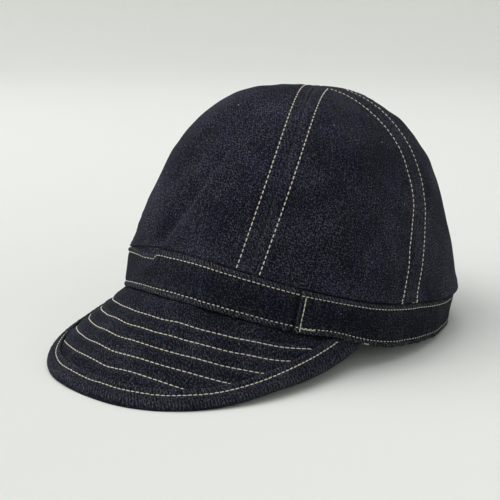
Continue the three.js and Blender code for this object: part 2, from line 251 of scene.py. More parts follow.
def fold_crease_highlight(angle, height):
    """A highlight is painted in the rubbed colour on the crease's flank that faces the light."""
    away = (wrapped_degrees(angle) - fold_angle(height) - CREASE_HIGHLIGHT["beside"]) / CREASE_HIGHLIGHT["half_width"]
    fading = 1 - smooth((height - CREASE_HIGHLIGHT["full_to"]) / CREASE_HIGHLIGHT["over"])
    return CREASE_HIGHLIGHT["rub"] * bell(away) * fading * smooth(height / CREASE_HIGHLIGHT["starts_over"])


def crown_rise(angle, height):
    """Height above the band's top edge."""
    return crown_point(angle, height)[..., 2] - band_top_point(angle)[..., 2]


def fold_depth(angle, height):
    away = (wrapped_degrees(angle) - fold_angle(height)) / FOLD["half_width"]
    inside = (height >= 0) & (height <= FOLD["reach"])
    return inside * FOLD["depth"] * bell(away) * (1 - smooth(height / FOLD["reach"]))


def crown_cloth(angle, height, puff):
    band_height = 1 + np.minimum(height, 0)
    tucked = band_depth(angle) * band_thinning(band_height) + PIECE_GAP + pleat_depth(angle, band_height)
    below = band_point(angle, band_height) - band_normal(angle, band_height) * tucked[..., None]
    above_height = np.maximum(height, 0)
    risen = crown_rise(angle, above_height)
    freed = smooth(risen / TUCK["rise"])
    overhang = crown_measure(angle, "overhang") * freed
    overhang = overhang * (1 - smooth((risen - OVERHANG["full_to"]) / OVERHANG["over"]))
    out = puff * np.sin(np.pi * above_height) + overhang
    out = out - fold_depth(angle, above_height) - tucked * (1 - freed)
    above = crown_point(angle, above_height) + band_normal(angle, 1) * out[..., None]
    return np.where((height <= 0)[..., None], below, above)


def seam_angle(seam, height):
    base, sway, lean, foot = seam
    above = np.maximum(0, height)
    turned = foot * (1 - smooth((above - FOOT_TURN["full_to"]) / FOOT_TURN["over"]))
    return np.radians(base + sway * np.sin(np.pi * above) + lean * above + turned)


# %% Curves of the peak
def rim_angle_at(x):
    share = np.minimum(1, np.abs(x) / RIM["half_width"])
    other = (1 - share ** RIM["front_power"]) ** (1 / RIM["front_power"])
    return np.sign(x) * np.arctan2(share, other)


def peak_height(x, y):
    rim = rim_point(rim_angle_at(x))
    forward = np.maximum(0, rim[..., 1] - y)
    side = np.abs(x) / PEAK["side_scale"]
    slope = PEAK["slope"] + PEAK["slope_change"] * side + PEAK["slope_at_side"] * side * side
    bend = np.where(x < 0, PEAK["right_lift"], -PEAK["left_droop"])
    fall = slope * forward + PEAK["droop"] * forward * forward / 100
    return rim[..., 2] - fall + bend * side * side * forward / 10


def under_band(x, y):
    """How far the peak sinks where it runs under the band's edge."""
    rim_angle = rim_angle_at(x)
    clear = (rim_point(rim_angle)[..., 1] - y) * np.abs(band_normal(rim_angle, 0)[..., 1])
    aside = smooth((np.abs(np.degrees(rim_angle)) - UNDER_BAND["from_angle"]) / UNDER_BAND["over"])
    depth = UNDER_BAND["front"] + (UNDER_BAND["side"] - UNDER_BAND["front"]) * aside
    return depth * (1 - smooth(clear / UNDER_BAND["reach"]))


def outline_side(x):
    """The outline's half width and its power on the side where x lies."""
    left = np.asarray(x) > 0
    half_width = np.where(left, PEAK["left_half_width"], PEAK["right_half_width"])
    return half_width, np.where(left, PEAK["left_power"], PEAK["right_power"])


def outline_inset(x, y):
    """Distance in from the peak's outline, true to first order."""
    half_width, power = outline_side(x)
    across = np.abs(x) / half_width
    ahead = np.abs(PEAK["centre_y"] - y) / PEAK["length"]
    reached = (across ** power + ahead ** power) ** (1 / power)
    nearing = np.hypot(
        (across / reached) ** (power - 1) / half_width, (ahead / reached) ** (power - 1) / PEAK["length"],
    )
    return (1 - reached) / nearing


def peak_curl(x, y):
    angle = np.degrees(np.arctan2(x / PEAK_HALF_WIDTH, (PEAK["centre_y"] - y) / PEAK["length"]))
    turned = smooth((angle - PEAK_CURL["from_angle"]) / PEAK_CURL["over"])
    return PEAK_CURL["amount"] * turned * np.clip(1 - outline_inset(x, y) / PEAK_CURL["reach"], 0, 1)


def peak_point(x, y, layer):
    layer = layer - np.maximum(peak_curl(x, y), under_band(x, y))
    step = 0.5
    along_x = (peak_height(x + step, y) - peak_height(x - step, y)) / (2 * step)
    along_y = (peak_height(x, y + step) - peak_height(x, y - step)) / (2 * step)
    up = layer * np.hypot(1, along_y) / np.hypot(1, along_x)
    return spot(x - along_x * up, y, np.maximum(0, peak_height(x, y) + up))


def outline_point(angle):
    half_width, power = outline_side(angle)
    s, c = super_circle(angle, power)
    return np.stack([half_width * s, PEAK["centre_y"] - PEAK["length"] * c], axis=-1)


def outline_inwards(angle):
    step = 0.005
    along = unit(outline_point(angle + step) - outline_point(angle - step))
    return np.stack([-along[..., 1], along[..., 0]], axis=-1)


def outline_end():
    low, high = 0.0, math.pi / 2
    for _ in range(40):
        middle = (low + high) / 2
        x, y = outline_point(np.array(middle))
        if y < rim_point(rim_angle_at(x))[1]:
            low = middle
        else:
            high = middle
    return low


OUTLINE_END = outline_end()
print(f"the peak's outline runs under the band {math.degrees(OUTLINE_END):.0f} degrees from the front")

# %% [markdown]
# Unevenness
# Sewn cloth is never even: seams pucker, and panels wave a little between them. A few sine waves of random
# direction give a smooth unevenness that is the same on every run, because each set has its own seed. They
# could also come from a displacement texture, but worked out here they can be held to the seam they belong
# to, and the mesh itself carries them.

# %% Waves for cloth and for seams
# How far the wavelengths of one set may lie apart
WAVE_SPREAD = (0.7, 1.4)
RIPPLE_SPREAD = (0.7, 1.35)


def soft_waves(places, wavelength, seed, count=12):
    draw = np.random.default_rng(seed)
    total = np.zeros(places.shape[:-1])
    for _ in range(count):
        direction = draw.normal(size=3)
        direction /= np.linalg.norm(direction)
        turns = draw.uniform(*WAVE_SPREAD) / wavelength
        total += np.sin(2 * np.pi * (turns * (places @ direction) + draw.uniform(0, 1)))
    return total / math.sqrt(2 * count)


def ripple(along, wavelength, seed, count=5):
    draw = np.random.default_rng(seed)
    total = np.zeros(np.shape(along))
    for _ in range(count):
        turns = draw.uniform(*RIPPLE_SPREAD) / wavelength
        total = total + np.sin(2 * np.pi * (turns * along + draw.uniform(0, 1)))
    return total / math.sqrt(2 * count)


def waves_over(places, waves):
    """The sum of sets of waves, each given by its height, its wavelength and its seed."""
    return sum(height * soft_waves(places, wavelength, seed) for height, wavelength, seed in waves)


# %% [markdown]
# From a grid to a piece of cloth
# Each sheet starts as a flat grid, and its vertices are moved to the places worked out for them. The grid
# also carries the cloth's own coordinates in metres, so that the weave has one scale on every piece. A
# second value says where the dye has rubbed off and where a highlight is painted in the rubbed colour, and
# below 0 it says where shade is painted on the cloth. Solidify then gives the sheet its real thickness.

# %% Measure along points
def run_along(points):
    """Length up to each point of a line."""
    return np.concatenate([[0], np.cumsum(np.linalg.norm(np.diff(points, axis=0), axis=1))])


def point_at(place, run, points):
    """The point of a line at a distance along it."""
    return [np.interp(place, run, points[:, k]) for k in range(3)]


def grid_normals(points):
    along = np.gradient(points, axis=1)
    up = np.gradient(points, axis=0)
    return unit(np.cross(along, up))


def to_metres(points):
    return (points + np.array([0, HEAD_TO_ORIGIN, 0])) * MM


# %% Make a sheet
JOIN_WITHIN = 0.01


def mesh_from(built, mesh):
    built.to_mesh(mesh)
    built.free()
    return mesh


def lay_sheet(name, points, cloth, wear_and_painted_light):
    """A mesh from rows of points in millimetres, with its outer face along the grid's normal."""
    rows, columns = points.shape[:2]
    sheet = bmesh.new()
    bmesh.ops.create_grid(sheet, x_segments=columns - 1, y_segments=rows - 1, size=1)
    mesh = mesh_from(sheet, bpy.data.meshes.new(name))
    flat = np.zeros(len(mesh.vertices) * 3)
    mesh.vertices.foreach_get("co", flat)
    flat = flat.reshape(-1, 3)
    column = np.rint((flat[:, 0] + 1) / 2 * (columns - 1)).astype(int)
    row = np.rint((flat[:, 1] + 1) / 2 * (rows - 1)).astype(int)
    mesh.vertices.foreach_set("co", to_metres(points[row, column]).ravel())
    corners = np.zeros(len(mesh.loops), np.int32)
    mesh.loops.foreach_get("vertex_index", corners)
    layer = mesh.uv_layers.new(name="cloth")
    layer.uv.foreach_set("vector", (cloth[row, column][corners] * MM).ravel())
    wear_and_light_layer = mesh.attributes.new("wear_and_painted_light", "FLOAT", "POINT")
    wear_and_light_layer.data.foreach_set("value", wear_and_painted_light[row, column].astype(np.float32))
    return mesh


def join_sheet(mesh, close_ends):
    """Joins the points of a sheet that meet, and closes its open ends where that is asked for."""
    sheet = bmesh.new()
    sheet.from_mesh(mesh)
    bmesh.ops.remove_doubles(sheet, verts=sheet.verts, dist=JOIN_WITHIN * MM)
    if close_ends:
        open_edges = [edge for edge in sheet.edges if edge.is_boundary]
        bmesh.ops.holes_fill(sheet, edges=open_edges, sides=0)
    mesh_from(sheet, mesh)


# %% Show a piece
def put_in_scene(name, data):
    thing = bpy.data.objects.new(name, data)
    bpy.context.scene.collection.objects.link(thing)
    return thing


def smooth_object(mesh, material):
    mesh.polygons.foreach_set("use_smooth", np.ones(len(mesh.polygons), bool))
    mesh.materials.append(material)
    return put_in_scene(mesh.name, mesh)


def show_piece(mesh, material, node=None, thickness=None):
    """A finished piece of the cap, which rides on its body and may replace one of the part's solids."""
    piece = smooth_object(mesh, material)
    if thickness:
        wall = piece.modifiers.new("cloth thickness", "SOLIDIFY")
        wall.thickness = thickness * MM
        wall.offset = -1
    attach(piece, BODY)
    if node:
        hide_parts(node)
    print(f"{mesh.name}: {len(mesh.polygons)} faces")


# %% [markdown]
# Denim
# Unwashed denim is a three-to-one twill: dark indigo warp threads lie on the face in slanting lines, and
# the pale weft shows between them as small flecks. The dye is uneven along each warp thread, so the cloth
# has fine streaks, and it rubs pale where it is rolled over an edge. The weave is made from the cloth's own
# coordinates, because an image would end somewhere and a pattern on the object's axes would smear where
# the cap curves. Only the broad clouds in the dye lie on the object's axes.

# %% A short way to join material nodes
class Recipe:
    """The nodes of one material."""

    def __init__(self, name):
        self.material = bpy.data.materials.new(name)
        self.material.use_nodes = True
        self.tree = self.material.node_tree
        self.tree.nodes.clear()

    def add(self, kind, inputs=None, **settings):
        node = self.tree.nodes.new(kind)
        for key, value in settings.items():
            setattr(node, key, value)
        for key, value in (inputs or {}).items():
            if isinstance(value, bpy.types.NodeSocket):
                self.tree.links.new(value, node.inputs[key])
            else:
                node.inputs[key].default_value = value
        return node

    def sum_of(self, operation, first, second=0.0, third=0.0):
        return self.add("ShaderNodeMath", {0: first, 1: second, 2: third}, operation=operation).outputs[0]

    def stretched(self, place, size):
        inputs = {0: place, 1: [1 / (part * MM) for part in size]}
        return self.add("ShaderNodeVectorMath", inputs, operation="MULTIPLY").outputs[0]

    def noise(self, place, size, detail=2.0):
        """Noise from 0 to 1 whose grain has a size in millimetres along each axis."""
        inputs = {"Vector": self.stretched(place, size), "Scale": 1.0, "Detail": detail}
        return self.add("ShaderNodeTexNoise", inputs).outputs["Fac"]

    def ramp(self, value, low, high):
        inputs = {"Value": value, "From Min": low, "From Max": high}
        return self.add("ShaderNodeMapRange", inputs, interpolation_type="SMOOTHSTEP").outputs["Result"]

    def blend(self, share, first, second):
        node = self.add("ShaderNodeMix", {"Factor": share}, data_type="RGBA")
        for socket, colour in ((node.inputs[6], first), (node.inputs[7], second)):
            if isinstance(colour, bpy.types.NodeSocket):
                self.tree.links.new(colour, socket)
            else:
                socket.default_value = (*colour, 1)
        return node.outputs[2]

    def finish(self, shader):
        self.add("ShaderNodeOutputMaterial", {"Surface": shader.outputs[0]})
        return self.material


# %% Colours and grain of the denim
INK = (0.0036, 0.0038, 0.0073)
WEFT = (0.102, 0.106, 0.143)
BLUE = (0.84, 0.90, 1.12)
# Pale colour of rubbed edges, also used for the painted highlight on the crease
RUBBED_AND_HIGHLIGHT = (0.20, 0.205, 0.235)
LINT = (0.42, 0.42, 0.40)
# Sizes are in millimetres across the cloth, up it and through it, or along the axes for clouds and patches
SLANT = 0.7
WANDER = (5, 9, 1)
TWILL = {"pitch": 1.2, "wander": 2.2}
HATCH = {"pitch": 1.9, "wander": 1.5}
FLECK = (0.9, 0.8, 1)
SLUBS = [((3.4, 2.6, 1), 0.12), ((0.8, 10, 1), 0.2)]
CLOUDS = {"size": (22, 22, 22), "share": 0.2}
WALE_SHARE = 0.035
WEFT_SHOWS = {"from": 0.58, "to": 1.06, "power": 2.2}
PATCHES = {"size": (12, 12, 40), "from": 0.42, "to": 0.75}
RUB = {"grain": (0.9, 0.9, 1), "hatch": 0.16, "from": 0.42, "to": 0.86}
LINT_BITS = {"apart": (11, 11, 1), "size": 0.028}
NAP = (0.3, 0.3, 1)
DENIM_RELIEF = {"wale": 0.3, "strength": 0.55, "depth": 0.16}
print("a wale of the twill every", TWILL["pitch"], "mm")


# %% Weave of the denim
def slanting_lines(recipe, slant, wander, lines):
    """A wave from -1 to 1 whose lines slant across the cloth and wander a little."""
    wandered = recipe.sum_of("MULTIPLY", wander, lines["wander"])
    phase = recipe.sum_of("MULTIPLY_ADD", slant, 1 / (lines["pitch"] * MM), wandered)
    return recipe.sum_of("SINE", recipe.sum_of("MULTIPLY", phase, 2 * math.pi))


def weft_grain(recipe, cloth, place, wale):
    """Pale weft shows between the warp threads, more in some threads and places than in others."""
    grain = recipe.noise(cloth, FLECK, 3.0)
    for size, share in SLUBS:
        grain = recipe.sum_of("MULTIPLY_ADD", recipe.noise(cloth, size), share, grain)
    clouds = recipe.noise(place, CLOUDS["size"], 3.0)
    grain = recipe.sum_of("MULTIPLY_ADD", clouds, CLOUDS["share"], grain)
    return recipe.sum_of("MULTIPLY_ADD", wale, WALE_SHARE, grain)


def woven_colour(recipe, grain, place):
    """Ink and weft, a little bluer in patches."""
    shows = recipe.ramp(grain, WEFT_SHOWS["from"], WEFT_SHOWS["to"])
    woven = recipe.blend(recipe.sum_of("POWER", shows, WEFT_SHOWS["power"]), INK, WEFT)
    patches = recipe.ramp(recipe.noise(place, PATCHES["size"], 3.0), PATCHES["from"], PATCHES["to"])
    bluer = recipe.add("ShaderNodeVectorMath", {0: woven, 1: BLUE}, operation="MULTIPLY").outputs[0]
    return recipe.blend(patches, woven, bluer)


# %% Wear of the denim
def colour_with_rub_and_painted_light(recipe, woven, cloth, hatch):
    """Rolled edges are rubbed paler along the slanting lines, painted highlights take the same pale colour,
    and values below 0 paint shade towards ink.
    """
    wear_and_painted_light = recipe.add("ShaderNodeAttribute", attribute_name="wear_and_painted_light").outputs["Fac"]
    grain = recipe.sum_of("MULTIPLY_ADD", hatch, RUB["hatch"], recipe.noise(cloth, RUB["grain"], 3.0))
    grain = recipe.ramp(grain, RUB["from"], RUB["to"])
    rubbed_with_painted_light = recipe.blend(recipe.sum_of("MULTIPLY", wear_and_painted_light, grain), woven, RUBBED_AND_HIGHLIGHT)
    return recipe.blend(recipe.sum_of("MAXIMUM", recipe.sum_of("MULTIPLY", wear_and_painted_light, -1)), rubbed_with_painted_light, INK)


def linty_colour(recipe, colour, cloth):
    """A few bits of lint lie on the cloth."""
    cells = recipe.add(
        "ShaderNodeTexVoronoi", {"Vector": recipe.stretched(cloth, LINT_BITS["apart"]), "Scale": 1.0},
    ).outputs["Distance"]
    return recipe.blend(recipe.sum_of("LESS_THAN", cells, LINT_BITS["size"]), colour, LINT)


# %% Mix the denim
def denim(name, painted_lightness):
    recipe = Recipe(name)
    cloth = recipe.add("ShaderNodeUVMap", uv_map="cloth").outputs["UV"]
    place = recipe.add("ShaderNodeTexCoord").outputs["Object"]
    split = recipe.add("ShaderNodeSeparateXYZ", {0: cloth})
    slant = recipe.sum_of("MULTIPLY_ADD", split.outputs[1], SLANT, split.outputs[0])
    wander = recipe.noise(cloth, WANDER)
    wale = slanting_lines(recipe, slant, wander, TWILL)
    grain = weft_grain(recipe, cloth, place, wale)
    woven = woven_colour(recipe, grain, place)
    rubbed_with_painted_light = colour_with_rub_and_painted_light(recipe, woven, cloth, slanting_lines(recipe, slant, wander, HATCH))
    coloured = linty_colour(recipe, rubbed_with_painted_light, cloth)
    # The lightness darkens a whole piece: painted shade for how little light falls on it
    shade = recipe.add("ShaderNodeHueSaturation", {"Color": coloured, "Value": painted_lightness}).outputs[0]

    rough = recipe.sum_of("ADD", grain, recipe.noise(cloth, NAP))
    relief = recipe.sum_of("MULTIPLY_ADD", wale, DENIM_RELIEF["wale"], rough)
    bump = recipe.add("ShaderNodeBump", {
        "Height": relief, "Strength": DENIM_RELIEF["strength"], "Distance": DENIM_RELIEF["depth"] * MM,
    })
    shader = recipe.add("ShaderNodeBsdfPrincipled", {
        "Base Color": shade,
        "Roughness": 0.92,
        "Specular IOR Level": 0.05,
        "Sheen Weight": 0.03,
        "Sheen Roughness": 0.5,
        "Sheen Tint": (0.7, 0.74, 0.85, 1),
        "Normal": bump.outputs[0],
    })
    return recipe.finish(shader)


# The band and the peak are darker copies of the crown's denim: painted shade, since less light falls on
# them than on the crown
crown_denim = denim("crown denim", 1.0)
band_denim = denim("band denim", 0.7)
peak_denim = denim("peak denim", 0.78)
print("denim mixed for the crown, the band and the peak")

# %% [markdown]
# Thread
# The cap is sewn with thick undyed cotton. A thread is two strands twisted together, so its material has
# slanting stripes of relief that run round it, on the coordinates of each stitch, and shade painted darker
# in the grooves between the strands.

# %% Cotton thread
STRAND = {"pitch": 0.9, "strength": 0.6, "depth": 0.12}
# The groove colour is painted shade between the twisted strands
THREAD_COLOURS = {"groove": (0.38, 0.34, 0.26), "strand": (0.80, 0.75, 0.63), "soiled": (0.72, 0.66, 0.53)}
SOILED = {"size": (3, 3, 3), "from": 0.3, "to": 0.7}


def cotton_thread():
    recipe = Recipe("undyed thread")
    along = recipe.add("ShaderNodeUVMap", uv_map="cloth").outputs["UV"]
    split = recipe.add("ShaderNodeSeparateXYZ", {0: along})
    twist = recipe.sum_of("MULTIPLY_ADD", split.outputs[0], 1 / (STRAND["pitch"] * MM), split.outputs[1])
    wave = recipe.sum_of("SINE", recipe.sum_of("MULTIPLY", twist, 2 * math.pi))
    strand = recipe.sum_of("ABSOLUTE", wave)
    place = recipe.add("ShaderNodeTexCoord").outputs["Object"]
    uneven = recipe.ramp(recipe.noise(place, SOILED["size"]), SOILED["from"], SOILED["to"])
    # Shade is painted in the grooves between the strands
    colour = recipe.blend(strand, THREAD_COLOURS["groove"], THREAD_COLOURS["strand"])
    toned = recipe.blend(uneven, colour, THREAD_COLOURS["soiled"])
    bump = recipe.add("ShaderNodeBump", {
        "Height": strand, "Strength": STRAND["strength"], "Distance": STRAND["depth"] * MM,
    })
    shader = recipe.add("ShaderNodeBsdfPrincipled", {
        "Base Color": toned,
        "Roughness": 0.72,
        "Specular IOR Level": 0.35,
        "Sheen Weight": 0.2,
        "Normal": bump.outputs[0],
    })
    return recipe.finish(shader)


thread = cotton_thread()

# %% [markdown]
# Stitches
# A lockstitch shows as a short length of thread that comes up, lies on the cloth and goes down again. One
# stitch is shaped from a small sphere, drawn out and blunted. An Array modifier repeats it, and each copy
# is then moved to its own place on a row, turned along it and bedded in the cloth. Curves with a bevel
# would also make thread, but thousands of them are slower and heavier than one joined mesh.

# %% One stitch and a row of them
STITCH = {"half_width": 0.3, "half_height": 0.26, "bedded": 0.04, "dive": 0.32, "blunt": 0.55}
STITCH_SPREAD = (0.92, 1.06)
CROWN_STITCH = {"pitch": 2.74, "length": 2.2}


def row_of_stitches(path, outward, pitch, length):
    """Places along a path: centre, direction, outward direction and length of each stitch."""
    run = run_along(path)
    # A whole number of stitches fills the row
    count = max(1, round(run[-1] / pitch))
    draw = np.random.default_rng(len(path))
    stitches = []
    for centre in (np.arange(count) + 0.5) * run[-1] / count:
        first = np.array(point_at(centre - length / 2, run, path))
        last = np.array(point_at(centre + length / 2, run, path))
        middle = np.array(point_at(centre, run, path))
        out = np.array(point_at(centre, run, outward))
        stitches.append((middle, unit(last - first), unit(out), length * draw.uniform(*STITCH_SPREAD)))
    return stitches


def stitch_shape():
    stitch = bmesh.new()
    lengthwise = Matrix.Rotation(math.pi / 2, 4, "Y")
    bmesh.ops.create_uvsphere(
        stitch, u_segments=6, v_segments=6, radius=1, matrix=lengthwise, calc_uvs=False,
    )
    layer = stitch.loops.layers.uv.new("cloth")
    for vertex in stitch.verts:
        ring = math.hypot(vertex.co.y, vertex.co.z)
        if ring > 1e-4:
            vertex.co.y *= ring ** (STITCH["blunt"] - 1)
            vertex.co.z *= ring ** (STITCH["blunt"] - 1)
    for face in stitch.faces:
        middle = face.calc_center_median()
        for corner in face.loops:
            co = corner.vert.co
            round_share = math.atan2(co.z, co.y) / (2 * math.pi)
            centre_share = math.atan2(middle.z, middle.y) / (2 * math.pi)
            round_share -= round(round_share - centre_share)
            corner[layer].uv = (co.x * CROWN_STITCH["length"] / 2 * MM, round_share)
    return mesh_from(stitch, bpy.data.meshes.new("one_stitch"))


one_stitch = stitch_shape()
print("one stitch has", len(one_stitch.polygons), "faces")

# %% Sew with copies of the stitch
def sew(name, stitches, size=1.0):
    """A joined piece with one copy of the stitch at each place. The size is the thread's."""
    holder = put_in_scene(name, one_stitch)
    copies = holder.modifiers.new("copies", "ARRAY")
    copies.count = len(stitches)
    copies.use_relative_offset = True
    mesh = bpy.data.meshes.new_from_object(holder.evaluated_get(bpy.context.evaluated_depsgraph_get()))
    bpy.data.objects.remove(holder)
    mesh.name = name
    shape = np.array([vertex.co for vertex in one_stitch.vertices])
    placed = np.zeros((len(stitches), len(shape), 3))
    for index, (centre, along, outward, length) in enumerate(stitches):
        across = unit(np.cross(outward, along))
        square = np.cross(along, across)
        height = size * STITCH["half_height"] * shape[:, 2] + STITCH["bedded"]
        height = height - STITCH["dive"] * shape[:, 0] ** 4
        placed[index] = (
            centre
            + np.outer(shape[:, 0] * length / 2, along)
            + np.outer(shape[:, 1] * size * STITCH["half_width"], across)
            + np.outer(height, square)
        )
    mesh.vertices.foreach_set("co", to_metres(placed).ravel())
    show_piece(mesh, thread)


# %% [markdown]
# Crown panels
# The crown is six tapering panels. On the real cap each seam is pressed open, so the two edges lie flat
# underneath and lift the cloth a little on both sides of a fine groove, and a row of stitches holds each
# down. Every panel is its own sheet from seam to seam. Its columns crowd towards the seams, where the
# relief is, and its rows are evenly spaced along the cloth.

# %% Relief beside a crown seam
ROW_PITCH = 0.85
SEAM_COLUMNS = 96
CROWDING = 0.5
SEAM_ROW = 6.0
ROWS_DRAWN_IN = {"by": 1.3, "over": 24}
ROW_START = 0.3
ALLOWANCE = {"raise": 0.3, "flat_to": 5.8, "gone_by": 8.2}
GROOVE = {"depth": 0.36, "half_width": 0.7}
SINK = {"depth": 0.34, "half_width": 0.8}
SEAM_PUCKER = 0.2
INNER_PUCKERS = {"at": 3.2, "half_width": 2.2, "pitch": 4.6, "slant": 0.35}
OUTER_PUCKERS = {"at": 8.6, "half_width": 2.6, "pitch": 6.5, "slant": -0.3, "share": 1.15}
SEAM_RUB = {
    "edge": 0.22, "edge_at": 1.2, "edge_half_width": 0.7, "pucker": 0.35, "pucker_at": 3, "spread": 3,
}
print("stitch rows lie", SEAM_ROW, "mm to each side of a seam")


def row_distance(seam, risen):
    """The seam whose foot turns has its rows nearer each other there."""
    foot = seam[3]
    return SEAM_ROW - ROWS_DRAWN_IN["by"] * (foot != 0) * (1 - smooth(risen / ROWS_DRAWN_IN["over"]))


def slanting_puckers(away, along, puckers, seed):
    """Puckers that fade on both sides of their distance from the seam."""
    waves = ripple(along + puckers["slant"] * away, puckers["pitch"], seed)
    return waves * bell((away - puckers["at"]) / puckers["half_width"])


def seam_relief(away, row, along, seed, calm):
    """Height of the cloth at a distance from a seam, and how rubbed it is there."""
    fall = (away - ALLOWANCE["flat_to"]) / (ALLOWANCE["gone_by"] - ALLOWANCE["flat_to"])
    flat = ALLOWANCE["raise"] * (1 - smooth(fall))
    groove = GROOVE["depth"] * bell(away / GROOVE["half_width"])
    sunk = SINK["depth"] * bell((away - row) / SINK["half_width"])
    inner = slanting_puckers(away, along, INNER_PUCKERS, seed)
    outer = slanting_puckers(away, along, OUTER_PUCKERS, seed + 1)
    puckers = SEAM_PUCKER * (inner + OUTER_PUCKERS["share"] * outer) * calm
    edge_rub = SEAM_RUB["edge"] * bell((away - SEAM_RUB["edge_at"]) / SEAM_RUB["edge_half_width"])
    crest_rub = SEAM_RUB["pucker"] * bell((away - SEAM_RUB["pucker_at"]) / SEAM_RUB["spread"])
    return flat - groove - sunk + puckers, (edge_rub + crest_rub * np.maximum(0, inner)) * calm


# %% Grid of one panel
def even_heights(from_seam, to_seam, wrap):
    """Heights whose rows are evenly spaced along the middle of a panel."""
    fine = np.linspace(0, 1, 600) ** 1.5
    middle = (seam_angle(from_seam, fine) + seam_angle(to_seam, fine) + wrap) / 2
    run = run_along(crown_cloth(middle, fine, np.zeros_like(fine)))
    count = int(run[-1] / ROW_PITCH)
    heights = np.interp(np.linspace(0, run[-1], count), run, fine)
    return np.concatenate([[-TUCK["depth"], -TUCK["depth"] / 2, -0.1], heights])


def seam_runs(seam, heights):
    """Length along a seam up to each height."""
    fine = np.linspace(0, 1, 400)
    run = run_along(crown_cloth(seam_angle(seam, fine), fine, np.zeros_like(fine)))
    return np.interp(heights, fine, run)[:, None]


def square_share(points, column, neighbour):
    """How much of a step along a row is square to the seam at its end."""
    row_way = unit(points[:, neighbour] - points[:, column])
    seam_way = unit(np.gradient(points[:, column], axis=0))
    return np.linalg.norm(np.cross(row_way, seam_way), axis=1)[:, None]


def panel_normals(points):
    """The grid's normals. At the apex, where the top row is one point, the normal is straight up."""
    outward = grid_normals(points)
    outward[-1] = (0, 0, 1)
    return outward


def panel_grid(from_seam, to_seam):
    """Angles and heights of a panel's grid, with its rows' heights."""
    wrap = 2 * math.pi if to_seam[0] < from_seam[0] else 0
    heights = even_heights(from_seam, to_seam, wrap)
    flat = np.linspace(0, 1, SEAM_COLUMNS + 1)
    shares = flat - CROWDING * np.sin(2 * np.pi * flat) / (2 * np.pi)
    height, share = np.meshgrid(heights, shares, indexing="ij")
    angle = seam_angle(from_seam, height) * (1 - share) + (seam_angle(to_seam, height) + wrap) * share
    return angle, height, share, heights


def row_near_seam(points, outward, away, distance, rows):
    """The line on a panel that keeps the stitch row's distance from a seam."""
    path = []
    out = []
    for row in rows:
        order = np.argsort(away[row])
        path.append(point_at(distance[row], away[row][order], points[row][order]))
        out.append(point_at(distance[row], away[row][order], outward[row][order]))
    return np.array(path), np.array(out)


# %% Build one panel
CROWN_WAVES = [(0.55, 34, 7), (0.28, 15, 8)]
WAVES_FROM_SEAM = 14
# Relief fades towards the apex, by height, and towards the band, in millimetres
CALM = {"at_apex": 0.08, "above_band": 4, "edge": 2}
# Each panel is cut from another place of the cloth
CUT_APART = 137
SEAM_SEEDS = {"first": 40, "step": 10}
crown_stitches = []


def seam_seed(index):
    """The two panels beside a seam share its puckers."""
    return SEAM_SEEDS["first"] + SEAM_SEEDS["step"] * index


def crown_panel(index):
    name = PANELS[index]
    next_index = (index + 1) % len(SEAMS)
    from_seam, to_seam = SEAMS[index], SEAMS[next_index]
    angle, height, share, heights = panel_grid(from_seam, to_seam)
    base = crown_cloth(angle, height, PUFF * np.sin(np.pi * share))
    across = np.concatenate([
        np.zeros((len(heights), 1)), np.cumsum(np.linalg.norm(np.diff(base, axis=1), axis=2), axis=1),
    ], axis=1)
    from_away = across * square_share(base, 0, 1)
    to_away = (across[:, -1:] - across) * square_share(base, -1, -2)

    # Under the band and at its edge the cloth lies flat
    above_band = crown_rise(angle, np.maximum(height, 0))
    calm = smooth((1 - height) / CALM["at_apex"]) * smooth(above_band / CALM["above_band"])
    from_row = row_distance(from_seam, above_band[:, :1])
    to_row = row_distance(to_seam, above_band[:, -1:])
    from_run, to_run = seam_runs(from_seam, heights), seam_runs(to_seam, heights)
    from_relief, from_rub = seam_relief(from_away, from_row, from_run, seam_seed(index), calm)
    to_relief, to_rub = seam_relief(to_away, to_row, to_run, seam_seed(next_index), calm)
    relief = np.where(from_away < to_away, from_relief, to_relief)
    inside = smooth(np.minimum(from_away, to_away) / WAVES_FROM_SEAM)
    relief = relief + waves_over(base, CROWN_WAVES) * inside * calm
    relief = relief * smooth(above_band / CALM["edge"])
    points = base + panel_normals(base) * relief[..., None]
    outward = panel_normals(points)

    middle = across - across[:, -1:] / 2
    run = run_along(base[:, SEAM_COLUMNS // 2])
    cloth = np.stack(np.broadcast_arrays(middle + CUT_APART * index, run[:, None]), axis=-1)
    # Rub beside the seams, and the painted highlight on the crease
    mesh = lay_sheet(name + "_cloth", points, cloth, from_rub + to_rub + fold_crease_highlight(angle, height))
    join_sheet(mesh, close_ends=False)
    show_piece(mesh, crown_denim, name, CROWN_CLOTH)

    width = (from_away + to_away).min(axis=1)
    for away, distance, side in ((from_away, from_row[:, 0], 0), (to_away, to_row[:, 0], -1)):
        rows = np.flatnonzero((above_band[:, side] > ROW_START) & (width > 2 * SEAM_ROW + 1))
        line, out = row_near_seam(points, outward, away, distance, rows)
        crown_stitches.extend(row_of_stitches(line, out, **CROWN_STITCH))


for index in range(len(PANELS)):
    crown_panel(index)
print(len(crown_stitches), "stitches hold the crown's seams")
sew("crown_stitches", crown_stitches)

# %% [markdown]
# The band
# The band is one strip of doubled cloth, folded at both edges and sewn into a ring whose ends lap at the
# wearer's left front. Dragged by its stitches, each folded edge twists into a slanting rope. The piece is
# a long sheet: its columns run round the head, and its rows run up the outer face, over the top fold, down
# the inner face and back under the bottom fold, where they close.

# %% Section of the band
BAND = {"column_pitch": 0.75, "face_pitch": 0.7, "fold_radius": 1.0}
BAND_ROWS = {"bottom": 3.05, "top": 2.7}


